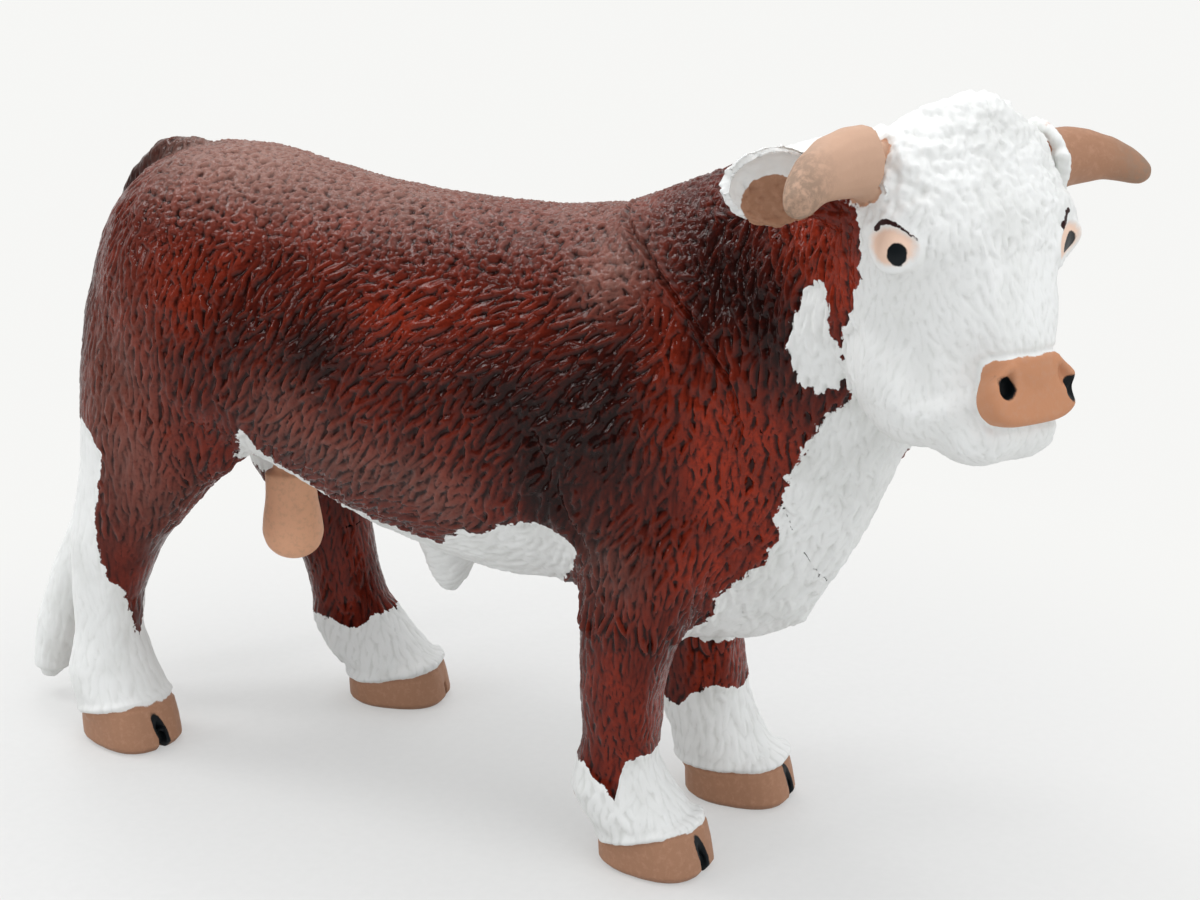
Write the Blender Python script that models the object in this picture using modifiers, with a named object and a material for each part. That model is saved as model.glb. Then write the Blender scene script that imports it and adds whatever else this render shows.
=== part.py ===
"""Toy beef bull: a solid vinyl figure of a horned bull, standing, its head turned to its right.

Metres, +Z up, +X towards the bull's nose, +Y to the bull's left. The moulded trunk with its
four legs carries the head and neck, the horns, the ears, the tail and the scrotum, each
plugged into a socket. The neck and the head are drawn straight ahead and then swung round.
"""

import math

import bmesh
import bpy
from mathutils import Matrix, Vector

# Trunk and neck
trunk_length = 0.100
withers_height = 0.0715
chest_width = 0.0360
neck_reach = 0.040
neck_start = 0.016
neck_width = 0.0340
poll_height = 0.0875
neck_bend_start = 0.024
neck_bend_length = 0.022
head_turn = math.radians(30)

# Head
head_length = 0.0330
head_depth = 0.0220
forehead_width = 0.0225
eye_forward = 0.060
eye_height = 0.0748
face_pitch = math.radians(54)
eye_spread = 0.0196
eye_radius = 0.0021
brow_radius = 0.0026
muzzle_width = 0.0116
muzzle_height = 0.0068
muzzle_depth = 0.0046
muzzle_corner = 0.0022
nostril_spread = 0.0080
nostril_width = 0.0023
nostril_height = 0.0032
nostril_depth = 0.0012
mouth_gap = 0.0006
mouth_depth = 0.0016
curl_radius = 0.0019

# Legs and feet
fore_leg_width = 0.0128
hind_leg_width = 0.0130
fore_track = 0.0196
hind_track_right = 0.0142
hind_track_left = 0.0127
hoof_length = 0.0130
hoof_width = 0.0104
hoof_height = 0.0058
heel_height = 0.0040
cleft_width = 0.0011
cleft_depth = 0.0022
dewclaw_radius = 0.0011
dewclaw_length = 0.0026

# Horns, ears, tail and scrotum
horn_length = 0.0100
horn_base_diameter = 0.0066
horn_tip_diameter = 0.0030
ear_length = 0.0106
ear_width = 0.0074
ear_thickness = 0.0013
ear_cup = 0.0018
ear_root_diameter = 0.0038
tail_diameter = 0.0036
tassel_width = 0.0066
scrotum_width = 0.0080
scrotum_drop = 0.0112
sheath_drop = 0.0089
sheath_width = 0.0064

horn_seat_spread = 0.0216
horn_back = 0.0038
horn_rise_right = 0.0072
horn_rise_left = 0.0064
ear_seat_spread = 0.0206
ear_back = 0.0084
ear_rise = 0.0027

# Joints between the mouldings
joint_gap = 0.0003
peg_length = 0.0042
horn_peg_diameter = 0.0038
ear_peg_diameter = 0.0022
tail_peg_diameter = 0.0020
scrotum_peg_diameter = 0.0032
neck_plug_width = 0.0150
neck_plug_height = 0.0190
neck_plug_length = 0.0080
overrun = 0.0400

# How finely the soft skin is worked
skin_voxel_size = 0.0009
skin_keep_share = 0.118
skin_smoothing = 5
ring_sides = 28
small_ring_sides = 14

oxblood = (0.16, 0.035, 0.022, 1)
cream = (0.82, 0.81, 0.77, 1)
horn_tan = (0.52, 0.30, 0.19, 1)

# Trunk sections, tail end to chest: place as a share of trunk_length; back, widest level
# and belly as shares of withers_height; half width as a share of chest_width; fullness.
trunk_shares = (
    (-0.622, 0.70, 0.62, 0.53, 0.06, 2.0, 2.0),
    (-0.606, 0.785, 0.64, 0.49, 0.16, 2.1, 2.0),
    (-0.576, 0.880, 0.66, 0.47, 0.26, 2.2, 2.0),
    (-0.542, 0.955, 0.67, 0.465, 0.35, 2.3, 2.0),
    (-0.500, 0.997, 0.67, 0.475, 0.425, 2.4, 2.0),
    (-0.450, 1.022, 0.67, 0.50, 0.475, 2.5, 2.0),
    (-0.390, 1.022, 0.67, 0.525, 0.495, 2.5, 2.1),
    (-0.310, 1.004, 0.67, 0.520, 0.485, 2.4, 2.1),
    (-0.230, 0.988, 0.66, 0.475, 0.485, 2.3, 2.1),
    (-0.150, 0.980, 0.65, 0.430, 0.495, 2.2, 2.1),
    (-0.060, 0.977, 0.65, 0.405, 0.505, 2.2, 2.1),
    (0.030, 0.980, 0.65, 0.390, 0.505, 2.2, 2.1),
    (0.110, 0.995, 0.66, 0.380, 0.495, 2.2, 2.1),
    (0.180, 1.022, 0.66, 0.37, 0.485, 2.1, 2.0),
    (0.240, 1.040, 0.66, 0.36, 0.44, 2.0, 1.9),
    (0.290, 1.010, 0.66, 0.39, 0.36, 2.0, 1.9),
)

# Neck sections, shoulder to poll: place as a share of neck_reach past neck_start; crest,
# widest level and dewlap as shares of poll_height; half width as a share of neck_width.
neck_shares = (
    (0.00, 0.836, 0.56, 0.30, 0.50, 2.0, 2.0),
    (0.20, 0.874, 0.57, 0.278, 0.48, 1.9, 1.9),
    (0.35, 0.906, 0.60, 0.288, 0.43, 1.9, 1.7),
    (0.50, 0.930, 0.64, 0.325, 0.385, 1.9, 1.5),
    (0.65, 0.947, 0.69, 0.415, 0.345, 2.0, 1.4),
    (0.78, 0.960, 0.74, 0.545, 0.305, 2.0, 1.4),
    (0.90, 0.970, 0.79, 0.665, 0.285, 2.1, 1.6),
    (1.00, 0.970, 0.84, 0.710, 0.270, 2.1, 2.0),
)

# Head sections, poll to chin: place down the face as a share of head_length from the eyes;
# face and jaw as shares of head_depth; half width as a share of forehead_width; fullness.
head_shares = (
    (-0.345, 0.15, -0.20, 0.30, 2.2, 2.0),
    (-0.310, 0.23, -0.33, 0.45, 2.5, 2.0),
    (-0.220, 0.270, -0.50, 0.505, 2.7, 2.0),
    (-0.070, 0.275, -0.64, 0.497, 2.7, 2.1),
    (0.060, 0.235, -0.74, 0.468, 2.6, 2.2),
    (0.180, 0.175, -0.79, 0.415, 2.4, 2.3),
    (0.300, 0.115, -0.77, 0.350, 2.2, 2.3),
    (0.400, 0.055, -0.68, 0.285, 2.2, 2.2),
    (0.480, -0.040, -0.60, 0.250, 2.3, 2.2),
    (0.530, -0.150, -0.54, 0.225, 2.2, 2.2),
    (0.565, -0.240, -0.46, 0.160, 2.0, 2.0),
)

# Fore leg, top to coronet: height as a share of withers_height, place as a share of
# trunk_length, side as a share of fore_track, half length and half width as shares of
# fore_leg_width.
fore_leg_shares = (
    (0.72, 0.170, 0.42, 0.70, 0.42),
    (0.60, 0.185, 0.50, 0.92, 0.50),
    (0.50, 0.190, 0.56, 0.78, 0.52),
    (0.40, 0.195, 0.56, 0.60, 0.48),
    (0.31, 0.197, 0.54, 0.50, 0.44),
    (0.25, 0.192, 0.525, 0.455, 0.415),
    (0.18, 0.182, 0.52, 0.375, 0.35),
    (0.13, 0.186, 0.52, 0.41, 0.38),
    (0.09, 0.198, 0.515, 0.47, 0.42),
    (0.06, 0.207, 0.51, 0.47, 0.42),
    (0.03, 0.212, 0.51, 0.40, 0.36),
)

# Hind legs in the same way, with hind_leg_width and each leg's own track.
hind_right_shares = (
    (0.78, -0.460, 0.62, 0.80, 0.46),
    (0.66, -0.452, 0.70, 0.88, 0.56),
    (0.58, -0.450, 0.76, 0.88, 0.56),
    (0.50, -0.466, 0.80, 0.77, 0.50),
    (0.43, -0.490, 0.86, 0.62, 0.46),
    (0.35, -0.514, 0.93, 0.455, 0.42),
    (0.27, -0.522, 0.97, 0.385, 0.37),
    (0.19, -0.524, 0.99, 0.355, 0.335),
    (0.13, -0.526, 1.00, 0.40, 0.38),
    (0.09, -0.518, 1.00, 0.46, 0.42),
    (0.06, -0.510, 1.00, 0.47, 0.42),
    (0.03, -0.508, 1.00, 0.40, 0.36),
)
hind_left_shares = (
    (0.78, -0.470, 0.66, 0.85, 0.46),
    (0.66, -0.450, 0.76, 0.98, 0.54),
    (0.58, -0.435, 0.84, 0.96, 0.52),
    (0.50, -0.420, 0.90, 0.84, 0.48),
    (0.43, -0.408, 0.96, 0.70, 0.46),
    (0.35, -0.392, 1.00, 0.54, 0.42),
    (0.27, -0.372, 1.00, 0.45, 0.39),
    (0.19, -0.350, 1.00, 0.385, 0.355),
    (0.13, -0.330, 1.00, 0.42, 0.39),
    (0.09, -0.310, 1.00, 0.47, 0.42),
    (0.06, -0.297, 1.00, 0.47, 0.42),
    (0.03, -0.290, 1.00, 0.40, 0.36),
)

# Feet, near to far and front to back: place as a share of trunk_length, side as a share of
# its track, turn outwards in degrees, side of the body, track.
feet = (
    (0.217, 0.50, 3, -1, fore_track),
    (0.222, 0.52, 8, 1, fore_track),
    (-0.505, 1.00, 12, -1, hind_track_right),
    (-0.285, 1.00, 18, 1, hind_track_left),
)

# Sheath under the belly: its root, its place along the trunk, its backward lean, and then
# its width going down, each as a share.
sheath_root_share = 0.44
sheath_place_share = -0.112
sheath_lean_share = 0.10
sheath_shares = (
    (0.00, 1.50),
    (0.35, 1.24),
    (0.65, 0.89),
    (0.85, 0.57),
    (1.00, 0.20),
)

# How full the sections are: 2 is a plain oval, and more is squarer.
leg_fullness = 2.2
hoof_toe_fullness = 2.7
hoof_heel_fullness = 2.3
pad_top_fullness = 3.0
pad_lip_fullness = 3.2
peg_fullness = 2.2
mouth_fullness = 2.2

# Hoof sections, sole to pastern: height, length and width as shares, then how far back.
hoof_shares = (
    (0.00, 0.90, 0.89, 0.00),
    (0.14, 1.00, 1.00, 0.00),
    (0.55, 0.97, 0.99, 0.020),
    (1.00, 0.92, 0.95, 0.045),
    (1.22, 0.74, 0.78, 0.07),
    (1.60, 0.40, 0.45, 0.10),
)

# Muscles that swell out of the sections: centre as shares of trunk_length, chest_width and
# withers_height, then radii as shares of the same three; mirrored to both sides.
muscle_shares = (
    (0.150, 0.33, 0.66, 0.085, 0.165, 0.20),
    (0.215, 0.27, 0.50, 0.070, 0.17, 0.12),
    (-0.455, 0.30, 0.64, 0.105, 0.17, 0.20),
    (-0.370, 0.35, 0.60, 0.055, 0.10, 0.10),
)

# Curls of the poll and forehead: along the face as a share of head_length, across as a
# share of forehead_width, out of the face as a share of head_depth, size as a share.
curl_shares = tuple(
    (-0.33 + 0.062 * row, side * (0.05 + 0.10 * column + 0.05 * (row % 2)),
     0.215 + 0.030 * math.sin(row * 1.3) - 0.07 * column, 0.85 + 0.15 * math.cos(2.1 * row + column))
    for row in range(6) for column in range(4) for side in (-1, 1)
)

# Tail: place as a share of trunk_length, side as a share of chest_width, height as a share
# of withers_height, half width as a share of tail_diameter.
tail_shares = (
    (-0.440, 0.0, 0.998, 0.26),
    (-0.468, 0.0, 1.010, 0.42),
    (-0.512, 0.0, 0.998, 0.52),
    (-0.552, 0.0, 0.948, 0.54),
    (-0.584, 0.0, 0.875, 0.52),
    (-0.608, 0.0, 0.775, 0.49),
    (-0.625, 0.0, 0.65, 0.46),
    (-0.632, -0.015, 0.52, 0.44),
)
# Tassel: the same places, half width as a share of tassel_width.
tassel_shares = (
    (-0.634, -0.04, 0.43, 0.30),
    (-0.644, -0.09, 0.33, 0.40),
    (-0.660, -0.15, 0.23, 0.48),
    (-0.676, -0.21, 0.13, 0.48),
    (-0.684, -0.25, 0.06, 0.34),
    (-0.687, -0.26, 0.035, 0.14),
)

# Where the seam's line passes over the poll, and the seat of the neck's plug.
seam_top_share = 0.100
plug_place_share = 0.318
plug_level_share = 0.680

# Seam between trunk and neck in side view: place as a share of trunk_length, height as a
# share of withers_height, top to bottom.
seam_shares = (
    (0.139, 1.010),
    (0.205, 0.965),
    (0.275, 0.890),
    (0.322, 0.810),
    (0.332, 0.750),
    (0.318, 0.680),
    (0.306, 0.580),
    (0.300, 0.250),
)

# Horn centre line from its seat: out, forward and up as shares of horn_length, then
# the thickness along it from base (1) to tip (0).
horn_shares = (
    (0.00, 0.00, 0.00, 1.00),
    (0.20, 0.00, 0.01, 0.98),
    (0.40, 0.03, 0.00, 0.80),
    (0.60, 0.10, -0.03, 0.56),
    (0.76, 0.18, -0.09, 0.34),
    (0.88, 0.26, -0.16, 0.12),
)

# Ear outline: place along the ear and half width, as shares of ear_length and ear_width.
ear_outline_shares = (
    (0.0, 0.17),
    (0.13, 0.32),
    (0.38, 0.48),
    (0.58, 0.50),
    (0.76, 0.43),
    (0.90, 0.29),
    (1.0, 0.11),
)


def clear_scene():
    for obj in list(bpy.data.objects):
        bpy.data.objects.remove(obj, do_unlink=True)


def make_collection(name):
    collection = bpy.data.collections.new(name)
    bpy.context.scene.collection.children.link(collection)
    return collection


def make_material(name, color, roughness):
    material = bpy.data.materials.new(name)
    material.use_nodes = True
    shader = material.node_tree.nodes["Principled BSDF"]
    shader.inputs["Base Color"].default_value = color
    shader.inputs["Roughness"].default_value = roughness
    shader.inputs["Metallic"].default_value = 0
    return material


def place_object(name, mesh, collection, material=None):
    obj = bpy.data.objects.new(name, mesh)
    collection.objects.link(obj)
    if material:
        mesh.materials.clear()
        mesh.materials.append(material)
    return obj


def oval_ring(centre, across, upward, half_width, rise, drop, full_up=2.0, full_down=2.0, sides=ring_sides):
    """A closed section: wide across, with its own height and fullness above and below."""
    ring = []
    for step in range(sides):
        angle = 2 * math.pi * (step + 0.5) / sides
        c, s = math.cos(angle), math.sin(angle)
        full = full_up if s >= 0 else full_down
        reach = rise if s >= 0 else drop
        over = math.copysign(abs(c) ** (2 / full), c) * half_width
        up = math.copysign(abs(s) ** (2 / full), s) * reach
        ring.append(centre + across * over + upward * up)
    return ring


def loft(bm, rings):
    """Skins a run of sections of equal count and closes both ends."""
    rows = [[bm.verts.new(point) for point in ring] for ring in rings]
    faces = []
    for first, second in zip(rows, rows[1:]):
        count = len(first)
        for i in range(count):
            j = (i + 1) % count
            faces.append(bm.faces.new((first[i], first[j], second[j], second[i])))
    faces.append(bm.faces.new(rows[0]))
    faces.append(bm.faces.new(rows[-1]))
    bmesh.ops.recalc_face_normals(bm, faces=faces)
    if signed_volume(faces) < 0:
        bmesh.ops.reverse_faces(bm, faces=faces)
    bmesh.ops.triangulate(bm, faces=[f for f in faces if len(f.verts) > 4])


def signed_volume(faces):
    total = 0.0
    for face in faces:
        base = face.verts[0].co
        for second, third in zip(face.verts[1:], face.verts[2:]):
            total += base.dot(second.co.cross(third.co))
    return total


def mesh_from(name, build):
    bm = bmesh.new()
    build(bm)
    mesh = bpy.data.meshes.new(name)
    bm.to_mesh(mesh)
    bm.free()
    return mesh


def ellipsoid(bm, matrix, radii, segments=16, rings=10):
    scale = Matrix.Diagonal((radii[0], radii[1], radii[2], 1))
    bmesh.ops.create_uvsphere(bm, u_segments=segments, v_segments=rings, radius=1, matrix=matrix @ scale)


def swung(forward, side, height):
    """A place beside the straight neck and head, carried round the bend of the neck."""
    bend_end = neck_bend_start + neck_bend_length
    radius = neck_bend_length / head_turn
    if forward <= neck_bend_start:
        return Vector((forward, side, height))
    turn = min((forward - neck_bend_start) / radius, head_turn)
    beyond = max(forward - bend_end, 0)
    x = neck_bend_start + radius * math.sin(turn) + beyond * math.cos(turn)
    y = -radius * (1 - math.cos(turn)) - beyond * math.sin(turn)
    return Vector((x + side * math.sin(turn), y + side * math.cos(turn), height))


def swing_at(forward):
    radius = neck_bend_length / head_turn
    return max(0.0, min((forward - neck_bend_start) / radius, head_turn))


def head_matrix():
    """From face axes (right, down the face, out of the face) at the eyes to the world."""
    turn = Matrix.Rotation(-head_turn, 3, "Z")
    right = turn @ Vector((0, -1, 0))
    down = turn @ Vector((math.cos(face_pitch), 0, -math.sin(face_pitch)))
    out = turn @ Vector((math.sin(face_pitch), 0, math.cos(face_pitch)))
    rows = Matrix((right, down, out)).transposed().to_4x4()
    rows.translation = swung(eye_forward, 0, eye_height)
    return rows


def upright_head_matrix():
    """From upright head axes (forward, left, up) at the eyes to the world."""
    rows = Matrix.Rotation(-head_turn, 4, "Z")
    rows.translation = swung(eye_forward, 0, eye_height)
    return rows


def add_trunk(bm):
    rings = []
    for place, back, wide, belly, half, full_up, full_down in trunk_shares:
        level = wide * withers_height
        centre = Vector((place * trunk_length, 0, level))
        rise = back * withers_height - level
        drop = level - belly * withers_height
        across = Vector((0, 1, 0))
        rings.append(oval_ring(centre, across, Vector((0, 0, 1)), half * chest_width, rise, drop, full_up, full_down))
    loft(bm, rings)


def add_neck(bm):
    rings = []
    for place, crest, wide, dewlap, half, full_up, full_down in neck_shares:
        forward = neck_start + place * neck_reach
        turn = swing_at(forward)
        across = Vector((math.sin(turn), math.cos(turn), 0))
        level = wide * poll_height
        rise = crest * poll_height - level
        drop = level - dewlap * poll_height
        centre = swung(forward, 0, level)
        rings.append(oval_ring(centre, across, Vector((0, 0, 1)), half * neck_width, rise, drop, full_up, full_down))
    loft(bm, rings)


def add_head(bm):
    face = head_matrix()
    across = face.to_3x3() @ Vector((1, 0, 0))
    out = face.to_3x3() @ Vector((0, 0, 1))
    rings = []
    for place, front, back, half, full_front, full_back in head_shares:
        middle = (front + back) / 2 * head_depth
        reach = (front - back) / 2 * head_depth
        centre = face @ Vector((0, place * head_length, middle))
        rings.append(oval_ring(centre, across, out, half * forehead_width, reach, reach, full_front, full_back))
    loft(bm, rings)
    add_face_forms(bm, face)


def add_face_forms(bm, face):
    for side in (-1, 1):
        eye = face @ Matrix.Translation((side * eye_spread / 2, 0, 0))
        ellipsoid(bm, eye, (eye_radius, eye_radius, eye_radius))
        brow_place = Vector((side * (eye_spread / 2 - brow_radius / 2), -eye_radius, brow_radius / 2))
        ellipsoid(bm, face @ Matrix.Translation(brow_place), (brow_radius, brow_radius / 2, brow_radius))
        cheek_place = Vector((side * forehead_width * 0.25, head_length * 0.24, -head_depth * 0.42))
        cheek = (forehead_width * 0.21, head_length * 0.24, head_depth * 0.34)
        ellipsoid(bm, face @ Matrix.Translation(cheek_place), cheek)
        lip_place = Vector((side * muzzle_width * 0.20, head_length * 0.525, -head_depth * 0.29))
        lip = (muzzle_width * 0.30, muzzle_height * 0.30, head_depth * 0.16)
        ellipsoid(bm, face @ Matrix.Translation(lip_place), lip)
    for place, over, out, size in curl_shares:
        spot = Vector((over * forehead_width, place * head_length, out * head_depth))
        radius = curl_radius * size
        ellipsoid(bm, face @ Matrix.Translation(spot), (radius, radius, radius), 10, 6)


def add_leg(bm, table, side, track, width):
    rings = []
    for height, place, over, half_length, half_width in table:
        centre = Vector((place * trunk_length, side * over * track, height * withers_height))
        rings.append(oval_ring(centre, Vector((0, 1, 0)), Vector((1, 0, 0)), half_width * width,
                               half_length * width, half_length * width,
                               leg_fullness, leg_fullness, 20))
    loft(bm, rings)


def add_legs(bm):
    for side in (-1, 1):
        add_leg(bm, fore_leg_shares, side, fore_track, fore_leg_width)
    add_leg(bm, hind_right_shares, -1, hind_track_right, hind_leg_width)
    add_leg(bm, hind_left_shares, 1, hind_track_left, hind_leg_width)


def add_muscles(bm):
    for place, over, height, long, wide, tall in muscle_shares:
        for side in (-1, 1):
            centre = Vector((place * trunk_length, side * over * chest_width, height * withers_height))
            radii = (long * trunk_length, wide * chest_width, tall * withers_height)
            ellipsoid(bm, Matrix.Translation(centre), radii)


def add_sheath(bm):
    top = sheath_root_share * withers_height
    tip = top - sheath_drop
    rings = []
    for down, width_share in sheath_shares:
        half = sheath_width / 2 * width_share
        centre = Vector((sheath_place_share * trunk_length - down * sheath_width * sheath_lean_share, 0,
                         top + (tip - top) * down))
        rings.append(oval_ring(centre, Vector((0, 1, 0)), Vector((1, 0, 0)), half * 0.8, half, half, sides=16))
    loft(bm, rings)


def skin_object(collection):
    """The whole soft form as one skin: overlapping forms fused, smoothed and thinned."""
    def build(bm):
        add_trunk(bm)
        add_neck(bm)
        add_head(bm)
        add_legs(bm)
        add_muscles(bm)
        add_sheath(bm)
    rough = place_object("skin_forms", mesh_from("skin_forms", build), collection)
    remesh = rough.modifiers.new("fuse", "REMESH")
    remesh.mode = "VOXEL"
    remesh.voxel_size = skin_voxel_size
    remesh.use_smooth_shade = True
    soften = rough.modifiers.new("soften", "SMOOTH")
    soften.factor = 0.5
    soften.iterations = skin_smoothing
    thin = rough.modifiers.new("thin", "DECIMATE")
    thin.ratio = skin_keep_share
    thin.use_collapse_triangulate = True
    graph = bpy.context.evaluated_depsgraph_get()
    graph.update()
    mesh = bpy.data.meshes.new_from_object(rough.evaluated_get(graph))
    bpy.data.objects.remove(rough, do_unlink=True)
    return mesh


def foot_frames():
    """For each foot its place on the ground, the way it points and the side of the body."""
    for place, over, splay, side, track in feet:
        spot = Vector((place * trunk_length, side * over * track, 0))
        yield spot, Matrix.Rotation(math.radians(side * splay), 3, "Z")


def add_hooves(bm):
    """The horny foot, flat on the ground and lower at the heel, and its two dewclaws."""
    middle_height = (hoof_height + heel_height) / 2
    slope = (hoof_height - heel_height) / hoof_length
    for spot, turn in foot_frames():
        lateral = turn @ Vector((0, 1, 0))
        rings = []
        for level, long_share, wide_share, back_share in hoof_shares:
            tilt = slope * min(level, 1.0)
            forward = turn @ Vector((1, 0, 0)) + Vector((0, 0, tilt))
            centre = spot - turn @ Vector((back_share * hoof_length, 0, 0))
            centre.z = level * middle_height - back_share * hoof_length * tilt
            half_long = hoof_length / 2 * long_share
            rings.append(oval_ring(centre, lateral, forward, hoof_width / 2 * wide_share,
                                   half_long, half_long, hoof_toe_fullness, hoof_heel_fullness, 24))
        loft(bm, rings)
        for toe in (-1, 1):
            back = turn @ Vector((-hoof_length * 0.46, 0, 0)) + lateral * (toe * hoof_width * 0.27)
            heel = spot + back + Vector((0, 0, hoof_height + dewclaw_length * 0.55))
            lean = Matrix.Translation(heel) @ (turn @ Matrix.Rotation(0.5, 3, "Y")).to_4x4()
            ellipsoid(bm, lean, (dewclaw_radius, dewclaw_radius, dewclaw_length / 2), 8, 6)


def add_clefts(bm):
    """The short split between the toes of each hoof, widest at the ground."""
    for spot, turn in foot_frames():
        lateral = turn @ Vector((0, 1, 0))
        rings = []
        for level, share in ((-0.3, 1.15), (0.1, 1.0), (0.5, 0.72), (0.82, 0.30)):
            lean_back = level * hoof_height * 0.16
            centre = spot + turn @ Vector((hoof_length / 2 - lean_back, 0, 0))
            centre.z = level * hoof_height
            rings.append(oval_ring(centre, lateral, turn @ Vector((1, 0, 0)), cleft_width / 2 * share,
                                   cleft_depth, cleft_depth * share, sides=12))
        loft(bm, rings)


def add_muzzle_pad(bm, face):
    """The bare nose pad: a soft-cornered block on the end of the face."""
    across, down, out = leaning_axes(face, 24)
    middle = face @ Vector((0, head_length * 0.428, -head_depth * 0.075))
    rings = []
    for level, share in ((-0.75, 0.80), (-0.1, 0.98), (0.16, 1.0), (0.30, 0.95), (0.36, 0.84)):
        half_high = muzzle_height / 2 - muzzle_corner * (1 - share)
        half_wide = muzzle_width / 2 - muzzle_corner * (1 - share)
        rings.append(oval_ring(middle + out * (level * muzzle_depth), across, down, half_wide,
                               half_high, half_high * 0.94, pad_top_fullness, pad_lip_fullness, 22))
    loft(bm, rings)


def add_nostrils(bm, face):
    for side in (-1, 1):
        spot = face @ Vector((side * nostril_spread / 2, head_length * 0.425, head_depth * 0.022))
        tilt = face.to_3x3() @ Matrix.Rotation(side * 0.5, 3, "Y")
        matrix = Matrix.Translation(spot) @ tilt.to_4x4()
        ellipsoid(bm, matrix, (nostril_width / 2, nostril_height / 2, nostril_depth), 12, 8)


def leaning_axes(face, degrees):
    """Axes (across, down, out) of the face, leaned back by so many degrees about its width."""
    lean = Matrix.Rotation(math.radians(-degrees), 3, Vector((1, 0, 0)))
    turn = face.to_3x3() @ lean
    return turn @ Vector((1, 0, 0)), turn @ Vector((0, 1, 0)), turn @ Vector((0, 0, 1))


def mouth_plate(bm, face, grow, thickness):
    """A flat oval in the plane of the mouth, grown or shrunk by the depth of the slit."""
    across, down, out = leaning_axes(face, 30)
    middle = face @ Vector((0, head_length * 0.515, -head_depth * 0.33))
    half_wide = muzzle_width / 2 + grow
    half_deep = head_depth * 0.27 + grow
    rings = []
    for side in (-1, 1):
        centre = middle + down * (side * thickness / 2)
        rings.append(oval_ring(centre, across, out, half_wide, half_deep, half_deep, mouth_fullness,
                               mouth_fullness, 28))
    loft(bm, rings)


def seam_line(shift):
    """The seam in side view, from above the poll to below the brisket, moved by shift to its side."""
    points = [Vector((seam_top_share * trunk_length, poll_height + overrun))]
    points += [Vector((x * trunk_length, z * withers_height)) for x, z in seam_shares]
    moved = []
    for i, point in enumerate(points):
        before = points[max(i - 1, 0)]
        after = points[min(i + 1, len(points) - 1)]
        run = (after - before).normalized()
        moved.append(point + Vector((-run.y, run.x)) * shift)
    return moved


def add_seam_block(bm, shift):
    """Everything ahead of the seam, as one thick plate across the figure."""
    outline = seam_line(shift)
    front = trunk_length + neck_reach
    outline.append(Vector((front, outline[-1].y)))
    outline.append(Vector((front, outline[0].y)))
    rings = [[Vector((p.x, side * overrun, p.y)) for p in outline] for side in (-1, 1)]
    loft(bm, rings)


def oval_peg(bm, start, direction, across, width, height, length, grow, back, taper=0.9, sides=16):
    """A slightly tapered oval peg from start; grown by the joint gap it cuts its own socket."""
    upward = direction.cross(across)
    rings = []
    for along, share in ((-back, 1.0), (0.0, 1.0), (length + grow, taper)):
        centre = start + direction * along
        half_wide = width / 2 * share + grow
        half_high = height / 2 * share + grow
        rings.append(oval_ring(centre, across, upward, half_wide, half_high, half_high, peg_fullness,
                               peg_fullness, sides))
    loft(bm, rings)


def neck_plug(bm, grow):
    """The plug on the neck, lying along the body behind the seam."""
    seam_middle = Vector((plug_place_share * trunk_length, 0, plug_level_share * withers_height))
    ahead = neck_plug_length * 0.7
    oval_peg(bm, seam_middle, Vector((-1, 0, 0)), Vector((0, 1, 0)), neck_plug_width, neck_plug_height,
             neck_plug_length, grow, ahead, sides=24)


def horn_seat(side):
    """The middle of the horn's seat and the way out of the head."""
    head = upright_head_matrix()
    rise = horn_rise_left if side > 0 else horn_rise_right
    point = head @ Vector((-horn_back, side * horn_seat_spread / 2, rise))
    return point, head.to_3x3()


def build_horn(bm, side):
    seat, turn = horn_seat(side)
    points = []
    for out, ahead, rise, share in horn_shares:
        offset = Vector((ahead * horn_length, side * (out * horn_length + joint_gap), rise * horn_length))
        thickness = horn_tip_diameter + (horn_base_diameter - horn_tip_diameter) * share
        points.append((seat + turn @ offset, thickness / 2))
    end, end_half = points[-1]
    run = (end - points[-2][0]).normalized()
    for along, share in ((0.55, 0.80), (0.85, 0.45), (0.97, 0.15)):
        points.append((end + run * (end_half * along), end_half * share))
    path_loft(bm, points, turn @ Vector((0, 0, 1)), 16)


def path_loft(bm, points, up_hint, sides):
    """Round sections square to a path of (place, radius)."""
    rings = []
    for i, (place, radius) in enumerate(points):
        before = points[max(i - 1, 0)][0]
        after = points[min(i + 1, len(points) - 1)][0]
        run = (after - before).normalized()
        across = run.cross(up_hint).normalized()
        upward = across.cross(run)
        rings.append(oval_ring(place, across, upward, radius, radius, radius, sides=sides))
    loft(bm, rings)


def horn_peg(bm, side, grow):
    seat, turn = horn_seat(side)
    inward = turn @ Vector((0, -side, 0))
    start = seat - inward * (joint_gap if grow == 0 else 0)
    oval_peg(bm, start, inward, turn @ Vector((0, 0, 1)), horn_peg_diameter, horn_peg_diameter * 0.8,
             peg_length + joint_gap, grow, joint_gap * 4)


def horn_pocket(bm, side):
    """The flat-bottomed seat that the root of the horn stands in."""
    seat, turn = horn_seat(side)
    outward = turn @ Vector((0, side, 0))
    half = horn_base_diameter / 2 + joint_gap
    rings = []
    for along in (0.0, horn_length):
        centre = seat + outward * along
        rings.append(oval_ring(centre, turn @ Vector((1, 0, 0)), turn @ Vector((0, 0, 1)), half, half, half, sides=20))
    loft(bm, rings)


def ear_frame(side):
    """The ear's seat, the way along the ear, across it and out of its hollow face."""
    head = upright_head_matrix()
    seat = head @ Vector((-ear_back, side * ear_seat_spread / 2, ear_rise))
    turn = head.to_3x3()
    along = (turn @ Vector((-0.24, side * 0.95, 0.22))).normalized()
    face = (turn @ Vector((0.90, side * 0.30, -0.22)))
    face = (face - along * face.dot(along)).normalized()
    across = face.cross(along).normalized()
    return seat, along, across, face, turn


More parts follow.
